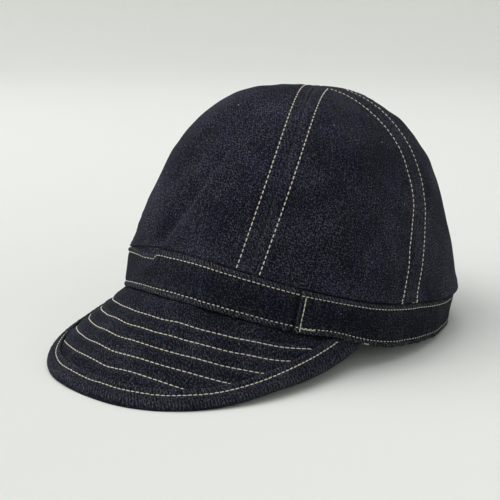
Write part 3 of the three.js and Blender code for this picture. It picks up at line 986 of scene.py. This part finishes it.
def band_section(height_of_band):
    """Places round the section: distance up the band, and share of the thickness inwards."""
    radius = BAND["fold_radius"]
    arc = np.radians(np.arange(0, 181, 22.5))
    face = np.arange(radius, height_of_band - radius, BAND["face_pitch"])
    back = np.linspace(height_of_band - radius, radius, 12)
    half = BAND_THICKNESS / 2
    over_top = height_of_band - radius + radius * np.sin(arc)
    up = np.concatenate([face, over_top, back[1:-1], radius - radius * np.sin(arc)])
    inner_face = np.full(len(back) - 2, 2 * half)
    inwards = np.concatenate([
        np.zeros(len(face)), half - half * np.cos(arc), inner_face, half + half * np.cos(arc),
    ])
    return np.append(up, up[0]), np.append(inwards, inwards[0]) / BAND_THICKNESS


band_side = np.linalg.norm(band_top_point(turn) - rim_point(turn), axis=1).mean()
section_up, section_in = band_section(band_side)
print(f"the band is {band_side:.1f} mm high, with {len(section_up)} points round its section")

# %% Relief of the band
KINK = {"angle": -13.8, "drop": 2.7, "before": 11, "after": 2.2, "from_height": 0.45, "over": 0.4}
BAND_WAVES = [(0.4, 24, 21), (0.2, 9, 22)]
ROPE = {"bulge": 0.34, "twist": 0.24, "pitch": 3.0, "slant": 0.9, "sway": 1.1, "sway_pitch": 17}
BAND_SINK = {"depth": 0.42, "half_width": 0.7}
BAND_PUCKERS = {"height": 0.16, "pitch": 5.2, "beyond_row": 2.2, "half_width": 2.4}
# How rubbed the hems are, how much more so on each turn of the rope, and how rubbed the puckers are
HEM_RUB = {"hem": 0.62, "rope": 0.5, "past_row": 0.2, "puckers": 0.10, "half_width": 2.0}


def kink_drop(angle):
    """The stitched edge dips towards the kink and springs back after it."""
    past = wrapped_degrees(angle) - KINK["angle"]
    return KINK["drop"] * np.where(past < 0, bell(past / KINK["before"]), bell(past / KINK["after"]))


def band_relief(up, along, places, height_of_band):
    from_top = height_of_band - up
    relief = waves_over(places, BAND_WAVES)
    rub = np.zeros_like(relief)
    for away, row, seed, lean in ((up, BAND_ROWS["bottom"], 31, 1), (from_top, BAND_ROWS["top"], 33, -1)):
        roll = np.sin(np.pi * np.clip(away / row, 0, 1))
        sway = ROPE["sway"] * ripple(along, ROPE["sway_pitch"], seed)
        rope = ripple(along + lean * ROPE["slant"] * away + sway, ROPE["pitch"], seed + 4, count=3)
        relief = relief + ROPE["bulge"] * roll + ROPE["twist"] * rope * roll
        relief = relief - BAND_SINK["depth"] * bell((away - row) / BAND_SINK["half_width"])
        beyond = away - row - BAND_PUCKERS["beyond_row"]
        puckers = ripple(along, BAND_PUCKERS["pitch"], seed + 8)
        puckers = puckers * bell(beyond / BAND_PUCKERS["half_width"])
        relief = relief + BAND_PUCKERS["height"] * puckers
        hem = smooth(row + HEM_RUB["past_row"] - away)
        rub = rub + hem * (HEM_RUB["hem"] + HEM_RUB["rope"] * rope)
        rub = rub + HEM_RUB["puckers"] * bell(beyond / HEM_RUB["half_width"]) * (1 + 2 * puckers)
    return relief, np.clip(rub, 0, 1)


# %% The lap
# The lap's place and slant, how much the two ends overlap, and how the upper end steps over the lower one
LAP = {
    "angle": 45.5, "slant": 1.8, "degrees": 7, "over_step": 1.0, "step_fade": 20, "over_thickness": 1.15,
    "thick_from": 6, "thick_over": 6, "under_step": 0.3, "under_fade": 3, "calm_before": 2, "calm_over": 2,
}
# Columns stand closer along the lap's edge, where the cloth turns in
LAP_EDGE = {"columns": [0, 0.12, 0.3, 0.55, 0.9], "round_depth": 0.45, "round_over": 0.9, "even_from": 1.6}
# The lap's rubbed fold, and the painted shade beside the lap's edge
LAP_RUB_AND_SHADE = {"fold": 0.4, "fold_width": 1.1, "shade": 0.85, "shade_at": 359.3, "shade_width": 0.5}
BOTTOM_WAVES = {"height": 0.25, "pitch": 8.5, "seed": 61, "up_to": 0.12}


def lap_step(past, left):
    """How far the band's upper end stands out over its lower end."""
    over = LAP["over_step"] * (1 - smooth(past / LAP["step_fade"]))
    return over - LAP["under_step"] * (1 - smooth((left - LAP["degrees"]) / LAP["under_fade"]))


def lap_thickness(past):
    thinner = LAP["over_thickness"] - BAND_THICKNESS
    return BAND_THICKNESS + thinner * (1 - smooth((past - LAP["thick_from"]) / LAP["thick_over"]))


def edge_round(around):
    """The lap's edge turns in on a small round."""
    share = np.clip(1 - around / LAP_EDGE["round_over"], 0, 1)
    return LAP_EDGE["round_depth"] * (1 - np.sqrt(1 - share ** 2))


def lap_rub_and_shade(around, past):
    """The lap's fold is rubbed, and shade is painted on the cloth beside its edge."""
    fold = LAP_RUB_AND_SHADE["fold"] * bell(around / LAP_RUB_AND_SHADE["fold_width"])
    return fold - LAP_RUB_AND_SHADE["shade"] * bell((past - LAP_RUB_AND_SHADE["shade_at"]) / LAP_RUB_AND_SHADE["shade_width"])


# %% Build the band
def make_band():
    total = math.radians(360 + LAP["degrees"])
    length = rim_length * total / (2 * math.pi)
    even = np.linspace(LAP_EDGE["even_from"], length, int(length / BAND["column_pitch"]))
    along = np.concatenate([LAP_EDGE["columns"], even])
    turned = along / rim_length * 2 * math.pi
    up, forward = np.meshgrid(section_up, turned, indexing="ij")
    inwards = np.repeat(section_in[:, None], len(turned), axis=1)
    around = np.repeat(along[None, :], len(section_up), axis=0)
    height = up / band_side
    angle = np.radians(LAP["angle"] - LAP["slant"] * height) + forward
    past = np.degrees(forward)
    left = np.degrees(total) - past
    base = band_point(angle, height)

    # The under end lies calm, so that neither end breaks through the other
    relief, rub = band_relief(up, around, base, band_side)
    calm = 1 - smooth((LAP["degrees"] + LAP["calm_before"] - left) / LAP["calm_over"])
    outer = 1 - inwards
    depth = band_depth(angle) * lap_thickness(past) / BAND_THICKNESS * band_thinning(height)
    out = relief * outer * calm + lap_step(past, left) - pleat_depth(angle, height)
    out = out - edge_round(around) * outer - inwards * depth
    points = base + band_normal(angle, height) * out[..., None]

    points[..., 2] -= kink_drop(angle) * smooth((height - KINK["from_height"]) / KINK["over"])
    points[..., 2] += BAND_LIFT * front_share(angle, 1) * (1 - height)
    bottom_waves = BOTTOM_WAVES["height"] * ripple(around, BOTTOM_WAVES["pitch"], BOTTOM_WAVES["seed"])
    low = smooth((BOTTOM_WAVES["up_to"] - height) / BOTTOM_WAVES["up_to"])
    points[..., 2] += bottom_waves * low * calm
    points[..., 2] = np.maximum(points[..., 2], 0)

    section_run = run_along(np.stack([section_up, BAND_THICKNESS * section_in], axis=-1))
    cloth = np.stack(np.broadcast_arrays(around, section_run[:, None]), axis=-1)
    # Rub of the hems and the lap's fold, and painted shade beside the lap's edge
    mesh = lay_sheet("band_cloth", points, cloth, (rub + lap_rub_and_shade(around, past)) * outer)
    join_sheet(mesh, close_ends=True)
    return mesh, points, turned


band_mesh, band_points, band_turned = make_band()
show_piece(band_mesh, band_denim, "band")

# %% Sew the band
LAP_ROW_IN = 2.7
LAP_STITCH = {"pitch": 2.5, "length": 2.5}
# The machine took shorter stitches at first than at the end of its way round
BAND_STITCHES = {
    "bottom": [{"pitch": 2.25, "length": 1.5}, {"pitch": 2.45, "length": 1.75}],
    "top": [{"pitch": 2.15, "length": 1.7}, {"pitch": 2.46, "length": 1.95}],
}
BAND_THREAD = 0.84
BACKTACK = {"drop": 0.4, "length": 7.5}
THREAD_END = {"up": 0.9, "from": 35.6, "to": 39.6}
THREAD_STITCH = {"pitch": 3.8, "length": 3.6}
band_run = band_turned * rim_length / (2 * math.pi)
face_rows = int(np.argmax(section_in > 0))
face_up = section_up[:face_rows]
face_points = band_points[:face_rows]
face_outward = grid_normals(face_points)


def line_on_band(up):
    """The line round the band's outer face at a distance up it, and its outward directions."""
    path = np.array([point_at(up, face_up, face_points[:, i]) for i in range(face_points.shape[1])])
    return path, face_outward[int(np.argmin(np.abs(face_up - up)))]


def line_up_band(along):
    """The line up the band's outer face at a distance past the lap's edge."""
    column = int(np.argmin(np.abs(band_run - along)))
    return face_points[:, column], face_outward[:, column]


shown = np.flatnonzero(band_turned < 2 * math.pi)
band_stitches = []
for edge, up in (("bottom", BAND_ROWS["bottom"]), ("top", band_side - BAND_ROWS["top"])):
    path, outward = line_on_band(up)
    for part, stitch in zip(np.array_split(shown, 2), BAND_STITCHES[edge]):
        band_stitches.extend(row_of_stitches(path[part], outward[part], **stitch))
path, outward = line_up_band(LAP_ROW_IN)
sewn = face_up < band_side - BAND_ROWS["top"]
band_stitches.extend(row_of_stitches(path[sewn], outward[sewn], **LAP_STITCH))
# The bottom row ends in a few stitches sewn over themselves
path, outward = line_on_band(BAND_ROWS["bottom"] - BACKTACK["drop"])
doubled = (band_run > LAP_ROW_IN) & (band_run < LAP_ROW_IN + BACKTACK["length"])
band_stitches.extend(row_of_stitches(path[doubled], outward[doubled], **LAP_STITCH))
# The binding's thread comes out under the band
path, outward = line_on_band(THREAD_END["up"])
loose = (band_run > THREAD_END["from"]) & (band_run < THREAD_END["to"])
band_stitches.extend(row_of_stitches(path[loose], outward[loose], **THREAD_STITCH))
print(len(band_stitches), "stitches hold the band")
sew("band_stitches", band_stitches, BAND_THREAD)

# %% [markdown]
# The peak
# Two layers of denim are quilted over a stiff board by five curved rows of stitches, so the cloth swells
# between the rows and is drawn down along each. The top face is one sheet whose height follows the
# distance to the nearest row, and Solidify gives it the board's thickness.

# %% Rows across the peak
PEAK_ROWS = {"count": 5, "first": 8.9, "spacing": 6.77, "curve": 0.98, "curve_step": 0.074}
PEAK_STEPS = {"columns": 215, "rows": 96}
QUILT = {
    "sink": 0.4, "half_width": 0.8, "swell": 0.6, "runs_on": 0.6, "pucker": 0.14, "pucker_length": 5.5,
    "pucker_at": 1.8, "pucker_half_width": 1.6,
}
PEAK_WAVES = [(0.3, 22, 72)]
print(PEAK_ROWS["count"], "rows are quilted, about", PEAK_ROWS["spacing"], "mm apart")


def first_row(x):
    """The y of the first row where x lies, and the spacing of the rows there."""
    rim_back = rim_point(rim_angle_at(x))[..., 1] + RIM["front_reach"]
    first = -RIM["front_reach"] - PEAK_ROWS["first"] + PEAK_ROWS["curve"] * rim_back
    return first, PEAK_ROWS["spacing"] + PEAK_ROWS["curve_step"] * rim_back


def row_y(number, x):
    first, spacing = first_row(x)
    return first - (number - 1) * spacing


def from_nearest_row(x, y):
    """Distance from the nearest row, and the row's number: 1 on the first, and so on between them."""
    first, spacing = first_row(x)
    number = 1 + (first - y) / spacing
    nearest = np.clip(np.round(number), 1, PEAK_ROWS["count"])
    return np.abs(number - nearest) * spacing, number


def quilt_relief(x, y):
    away, number = from_nearest_row(x, y)
    between = np.clip(number, 1 - QUILT["runs_on"], PEAK_ROWS["count"] + QUILT["runs_on"])
    swell = QUILT["swell"] * np.sin(np.pi * between) ** 2
    places = spot(x, y, 0)
    beside = bell((away - QUILT["pucker_at"]) / QUILT["pucker_half_width"])
    pucker = QUILT["pucker"] * soft_waves(places, QUILT["pucker_length"], 71) * beside
    sunk = QUILT["sink"] * bell(away / QUILT["half_width"])
    return swell - sunk + pucker + waves_over(places, PEAK_WAVES)


# %% Build the peak
PEAK_EDGE_INSET = 1.4
UNDER_BINDING = {"starts": 0.8, "over": 1.6, "sunk": 0.3, "at_ends": 0.06}
# Inside the band the seam allowance turns up
PEAK_ALLOWANCE = {"height": 3.5, "from_rim": 2.7, "over": 1.3}
PEAK_RUB = {"share": 0.22, "beside_row": 1.3, "half_width": 0.8}
PEAK_CUT_APART = 900
print("the allowance inside the band turns up", PEAK_ALLOWANCE["height"], "mm")


def make_peak():
    rim_end = rim_angle_at(outline_point(np.array(OUTLINE_END))[0])
    shares = np.linspace(-1, 1, PEAK_STEPS["columns"])
    outwards = np.linspace(1, 0, PEAK_STEPS["rows"])
    outwards, share = np.meshgrid(outwards, shares, indexing="ij")
    angle = share * PEAK_CORE_END * OUTLINE_END
    rim_angle = share * PEAK_CORE_END * rim_end
    front = outline_point(angle) + outline_inwards(angle) * PEAK_EDGE_INSET
    # The sheet goes on under the band's edge, as far as the tuck
    hidden = rim_point(rim_angle) - band_normal(rim_angle, 0) * PEAK_TUCK
    x = hidden[..., 0] * (1 - outwards) + front[..., 0] * outwards
    y = hidden[..., 1] * (1 - outwards) + front[..., 1] * outwards

    # Under the binding the cloth lies flat
    inset = outline_inset(x, y)
    free = smooth((inset - BINDING["width"] + UNDER_BINDING["starts"]) / UNDER_BINDING["over"])
    quilted = quilt_relief(x, y) * free * smooth((1 - np.abs(share)) / UNDER_BINDING["at_ends"])
    points = peak_point(x, y, PEAK_TOP + quilted - UNDER_BINDING["sunk"] * (1 - free))
    inside = (y - rim_point(rim_angle_at(x))[..., 1]) * np.abs(band_normal(rim_angle, 0)[..., 1])
    turned_up = smooth((inside - PEAK_ALLOWANCE["from_rim"]) / PEAK_ALLOWANCE["over"])
    points[..., 2] += PEAK_ALLOWANCE["height"] * turned_up

    cloth = np.stack([x + PEAK_CUT_APART, y * np.hypot(1, PEAK["slope"])], axis=-1)
    away = from_nearest_row(x, y)[0]
    rub = PEAK_RUB["share"] * bell((away - PEAK_RUB["beside_row"]) / PEAK_RUB["half_width"])
    return lay_sheet("peak_cloth", points, cloth, rub)


peak_mesh = make_peak()
show_piece(peak_mesh, peak_denim, "peak", PEAK_BOARD)

# %% [markdown]
# The binding
# A bias strip of the same denim is folded over the peak's edge and sewn through with one row. It is
# thicker than the peak, rolls over the edge, and puckers where the row pulls it in. Its sheet runs from
# the fold underneath, round the outside and up to the fold on top.

# %% Section of the binding
BINDING_STEPS = {"columns": 430, "under": 6, "flat": 12, "round": 11}
# The upper fold, by its distance in from the strip's width and down from its top
BINDING_FOLD = {"in": [-0.08, 0.0, -0.05], "down": [0.15, 0.55, 0.95], "starts": 0.3}
ROOM_SEARCH = {"reach": 20, "steps": 161}
EDGE_CLOTH = 0.9
print("the strip is", BINDING["width"], "mm wide and", BINDING["top"] - BINDING["bottom"], "mm thick")


def room_to_rim(edge, inwards):
    """How far the strip may reach in from the outline before it meets the band."""
    reach = np.linspace(0, ROOM_SEARCH["reach"], ROOM_SEARCH["steps"])
    x = edge[0] + inwards[0] * reach
    y = edge[1] + inwards[1] * reach
    past = y > rim_point(rim_angle_at(x))[..., 1]
    return reach[np.argmax(past)] if past.any() else reach[-1]


def binding_width(angle):
    edge = outline_point(angle)
    inwards = outline_inwards(angle)
    widths = np.full(len(angle), BINDING["width"])
    for i in range(len(angle)):
        room = room_to_rim(edge[i], inwards[i]) + BINDING["tucked"]
        widths[i] = min(BINDING["width"], max(BINDING["narrowest"], room))
    return widths


def binding_section(width):
    """Insets from the outline and layers of cloth, from the lower fold round to the upper one."""
    top, bottom = BINDING["top"], BINDING["bottom"]
    radius = (top - bottom) / 2
    arc = np.linspace(-np.pi / 2, np.pi / 2, BINDING_STEPS["round"])
    lower = np.linspace(width, radius, BINDING_STEPS["under"] + 1)[:-1]
    upper = np.linspace(radius, width - BINDING_FOLD["starts"], BINDING_STEPS["flat"] + 1)[1:]
    fold_in = width + np.array(BINDING_FOLD["in"])
    inset = np.concatenate([lower, radius - radius * np.cos(arc), upper, fold_in])
    rounded = (top + bottom) / 2 + radius * np.sin(arc)
    fold = top - np.array(BINDING_FOLD["down"])
    layer = np.concatenate([np.full(len(lower), bottom), rounded, np.full(len(upper), top), fold])
    return inset, layer


# %% Relief of the binding
EDGE_ROW = 5.0
ROW_TO_FOLD = 1.6
EDGE_PULL = {"depth": 0.5, "half_width": 0.75, "past_row": 0.2}
EDGE_SWELL = {"outer": 0.22, "inner": 0.12}
EDGE_PUCKERS = {
    "height": 0.17, "inner_pitch": 4.4, "inner_slant": 0.5, "outer_pitch": 5.6, "outer_slant": -0.4,
    "outer_share": 0.8,
}
EDGE_WAVES = {"height": 0.2, "pitch": 30}
EDGE_TOP = {"from": -1.2, "over": 1.4}
EDGE_RUB = {"all": 0.16, "inner": 0.35, "inner_base": 0.6, "edge": 0.28, "edge_at": 0.6, "half_width": 1.2}
# Cut on the bias, the strip's weave lies at another angle than the peak's
BIAS = {"across": 0.6, "along": 0.8, "cut_apart": 1300}


def binding_relief(inset, layer, run, row_in):
    """Height of the strip's swell, pull and puckers, and how rubbed it is, on its upper side."""
    on_top = smooth((layer - EDGE_TOP["from"]) / EDGE_TOP["over"])
    inner_zone = smooth(inset - row_in - EDGE_PULL["past_row"])
    pull = EDGE_PULL["depth"] * bell((inset - row_in) / EDGE_PULL["half_width"])
    inner = ripple(run + EDGE_PUCKERS["inner_slant"] * inset, EDGE_PUCKERS["inner_pitch"], 81)
    outer = ripple(run + EDGE_PUCKERS["outer_slant"] * inset, EDGE_PUCKERS["outer_pitch"], 82)
    puckers = inner * inner_zone + EDGE_PUCKERS["outer_share"] * outer * (1 - inner_zone)
    swell = EDGE_SWELL["outer"] * np.sin(np.pi * np.clip(inset / row_in, 0, 1))
    swell = swell + EDGE_SWELL["inner"] * inner_zone
    waves = EDGE_WAVES["height"] * ripple(run, EDGE_WAVES["pitch"], 83)
    rub = EDGE_RUB["all"] + EDGE_RUB["inner"] * inner_zone * (EDGE_RUB["inner_base"] + puckers)
    rub = rub + EDGE_RUB["edge"] * bell((inset - EDGE_RUB["edge_at"]) / EDGE_RUB["half_width"])
    relief = (swell - pull + EDGE_PUCKERS["height"] * puckers) * on_top + waves
    return relief, np.clip(rub, 0, 1) * on_top


# %% Build the binding
def make_binding():
    angle = np.linspace(-1, 1, BINDING_STEPS["columns"]) * BINDING["end"] * OUTLINE_END
    edge = outline_point(angle)
    kept = rim_point(rim_angle_at(edge[:, 0]))[:, 1] > edge[:, 1]
    angle, edge = angle[kept], edge[kept]
    inwards = outline_inwards(angle)
    widths = binding_width(angle)
    sections = [binding_section(width) for width in widths]
    inset, layer = (np.stack([section[part] for section in sections], axis=1) for part in (0, 1))
    run = run_along(edge)
    row_in = np.minimum(EDGE_ROW, widths - ROW_TO_FOLD)
    relief, rub = binding_relief(inset, layer, run, row_in)
    x = edge[:, 0] + inwards[:, 0] * inset
    y = edge[:, 1] + inwards[:, 1] * inset
    points = peak_point(x, y, layer + relief)
    steps = np.hypot(np.diff(inset, axis=0), np.diff(layer, axis=0))
    section_run = np.concatenate([np.zeros((1, len(angle))), np.cumsum(steps, axis=0)])
    cloth = np.stack([
        section_run + BIAS["across"] * run + BIAS["cut_apart"],
        BIAS["along"] * run - BIAS["across"] * section_run,
    ], axis=-1)
    mesh = lay_sheet("peak_binding_cloth", points, cloth, rub)
    return mesh, points, inset, row_in, widths


binding_mesh, binding_points, binding_inset, binding_row_in, binding_widths = make_binding()
show_piece(binding_mesh, peak_denim, "peak_binding", EDGE_CLOTH)

# %% Sew the peak and its binding
QUILT_STITCH = {"pitch": 2.76, "length": 2.75}
QUILT_ROW_ENDS = 0.5
EDGE_STITCH = {"pitch": 2.46, "length": 2.3}
# The row ends where the strip leaves less than this beside it
EDGE_ROW_ENDS = 1.2


def quilting_stitches():
    stitches = []
    for number in range(1, PEAK_ROWS["count"] + 1):
        x = np.linspace(-PEAK_HALF_WIDTH, PEAK_HALF_WIDTH, 700)
        y = row_y(number, x)
        clear_of_band = y < rim_point(rim_angle_at(x))[..., 1] - QUILT_ROW_ENDS
        shown = (outline_inset(x, y) > BINDING["width"]) & clear_of_band
        x, y = x[shown], y[shown]
        points = peak_point(x, y, PEAK_TOP + quilt_relief(x, y))
        step = 0.5
        along_x = peak_point(x + step, y, 0) - peak_point(x - step, y, 0)
        along_y = peak_point(x, y + step, 0) - peak_point(x, y - step, 0)
        stitches.extend(row_of_stitches(points, unit(np.cross(along_x, along_y)), **QUILT_STITCH))
    return stitches


def edge_stitches():
    """The row along the binding, on the flat of its upper side."""
    first = BINDING_STEPS["under"] + BINDING_STEPS["round"] // 2
    flat = slice(first, -len(BINDING_FOLD["in"]))
    outward = grid_normals(binding_points)
    path = []
    out = []
    for i, row_in in enumerate(binding_row_in):
        inset = binding_inset[flat, i]
        path.append(point_at(row_in, inset, binding_points[flat, i]))
        out.append(point_at(row_in, inset, outward[flat, i]))
    keep = binding_widths > EDGE_ROW + EDGE_ROW_ENDS
    return row_of_stitches(np.array(path)[keep], np.array(out)[keep], **EDGE_STITCH)


peak_stitches = quilting_stitches() + edge_stitches()
print(len(peak_stitches), "stitches on the peak")
sew("peak_stitches", peak_stitches)

# %% [markdown]
# The studio
# The cap stands on a pale floor that curves up into a wall all round, so that every view has the same soft
# background. A large light from the upper left gives the cloth its shading, a still larger one overhead
# keeps the shadow under the peak soft, and the world's even light fills what both leave dark. One light
# alone would leave the side away from it too dark.

# %% Floor
SWEEP = {"flat": 1.9, "curve": 1.0, "wall": 1.3, "join_within": 1e-5}
FLOOR_COLOUR = (0.80, 0.815, 0.785, 1)


def make_sweep():
    profile = [Vector((0, 0, 0)), Vector((SWEEP["flat"], 0, 0))]
    for degrees in range(10, 91, 10):
        bend = math.radians(degrees)
        risen = Vector((math.sin(bend), 0, 1 - math.cos(bend)))
        profile.append(profile[1] + SWEEP["curve"] * risen)
    profile.append(profile[-1] + Vector((0, 0, SWEEP["wall"])))
    sweep = bmesh.new()
    verts = [sweep.verts.new(place) for place in profile]
    edges = [sweep.edges.new(pair) for pair in zip(verts, verts[1:])]
    bmesh.ops.spin(
        sweep, geom=verts + edges, cent=(0, 0, 0), axis=(0, 0, 1), angle=2 * math.pi, steps=72,
        use_merge=True,
    )
    bmesh.ops.remove_doubles(sweep, verts=sweep.verts, dist=SWEEP["join_within"])
    bmesh.ops.recalc_face_normals(sweep, faces=sweep.faces)
    mesh = mesh_from(sweep, bpy.data.meshes.new("studio_floor"))
    recipe = Recipe("pale floor")
    shader = recipe.add("ShaderNodeBsdfDiffuse", {"Color": FLOOR_COLOUR, "Roughness": 0.6})
    smooth_object(mesh, recipe.finish(shader))
    print("the floor reaches", SWEEP["flat"] + SWEEP["curve"], "m to each side")


make_sweep()

# %% Camera
# The photo's viewing angle, and the distance and aim in millimetres
CAMERA = {
    "azimuth": 42, "elevation": 14.43, "distance": 553.2,
    "aim_right": -24.3, "aim_up": -21.4, "aim_z": 63.1,
}
LENS_MM = 70.8
SENSOR_MM = 36
NEAREST_SEEN = 0.02

azimuth = math.radians(CAMERA["azimuth"])
elevation = math.radians(CAMERA["elevation"])
right = Vector((math.cos(azimuth), math.sin(azimuth), 0))
back = Vector((
    math.sin(azimuth) * math.cos(elevation), -math.cos(azimuth) * math.cos(elevation), math.sin(elevation),
))
upwards = back.cross(right)
aim = Vector((0, HEAD_TO_ORIGIN, CAMERA["aim_z"]))
aim = aim + right * CAMERA["aim_right"] + upwards * CAMERA["aim_up"]
lens = bpy.data.cameras.new("camera")
lens.lens = LENS_MM
lens.sensor_width = SENSOR_MM
lens.clip_start = NEAREST_SEEN
camera = put_in_scene("camera", lens)
camera.matrix_world = Matrix.Translation((aim + back * CAMERA["distance"]) * MM) @ Matrix(
    (right, upwards, back)).transposed().to_4x4()
bpy.context.scene.camera = camera
print("camera at", [round(value, 3) for value in camera.location])

# %% Lights
# Each large light's direction in degrees, distance and side in metres, power in watts and colour
KEY_LIGHT = {
    "azimuth": -54, "raised": 46, "distance": 2.0, "side": 1.8, "power": 18, "colour": (1, 0.995, 0.97),
}
OVERHEAD_LIGHT = {
    "azimuth": -60, "raised": 80, "distance": 2.7, "side": 3.4, "power": 53, "colour": (1, 1, 1),
}
LIT_HEIGHT = 0.06
WORLD_COLOUR = (0.95, 0.97, 1, 1)
WORLD_STRENGTH = 0.27


def soft_light(name, kind):
    """A square light that faces the middle of the cap."""
    lamp = bpy.data.lights.new(name, "AREA")
    lamp.size = kind["side"]
    lamp.energy = kind["power"]
    lamp.color = kind["colour"]
    turned, raised = math.radians(kind["azimuth"]), math.radians(kind["raised"])
    level = math.cos(raised)
    way = Vector((math.sin(turned) * level, -math.cos(turned) * level, math.sin(raised)))
    light = put_in_scene(name, lamp)
    light.rotation_euler = way.to_track_quat("Z", "Y").to_euler()
    light.location = way * kind["distance"] + Vector((0, 0, LIT_HEIGHT))
    print(name, "gives", lamp.energy, "W")


soft_light("key light", KEY_LIGHT)
soft_light("overhead light", OVERHEAD_LIGHT)

world = bpy.data.worlds.new("studio")
world.use_nodes = True
world.node_tree.nodes["Background"].inputs["Color"].default_value = WORLD_COLOUR
world.node_tree.nodes["Background"].inputs["Strength"].default_value = WORLD_STRENGTH
bpy.context.scene.world = world
bpy.context.scene.view_settings.view_transform = "Standard"
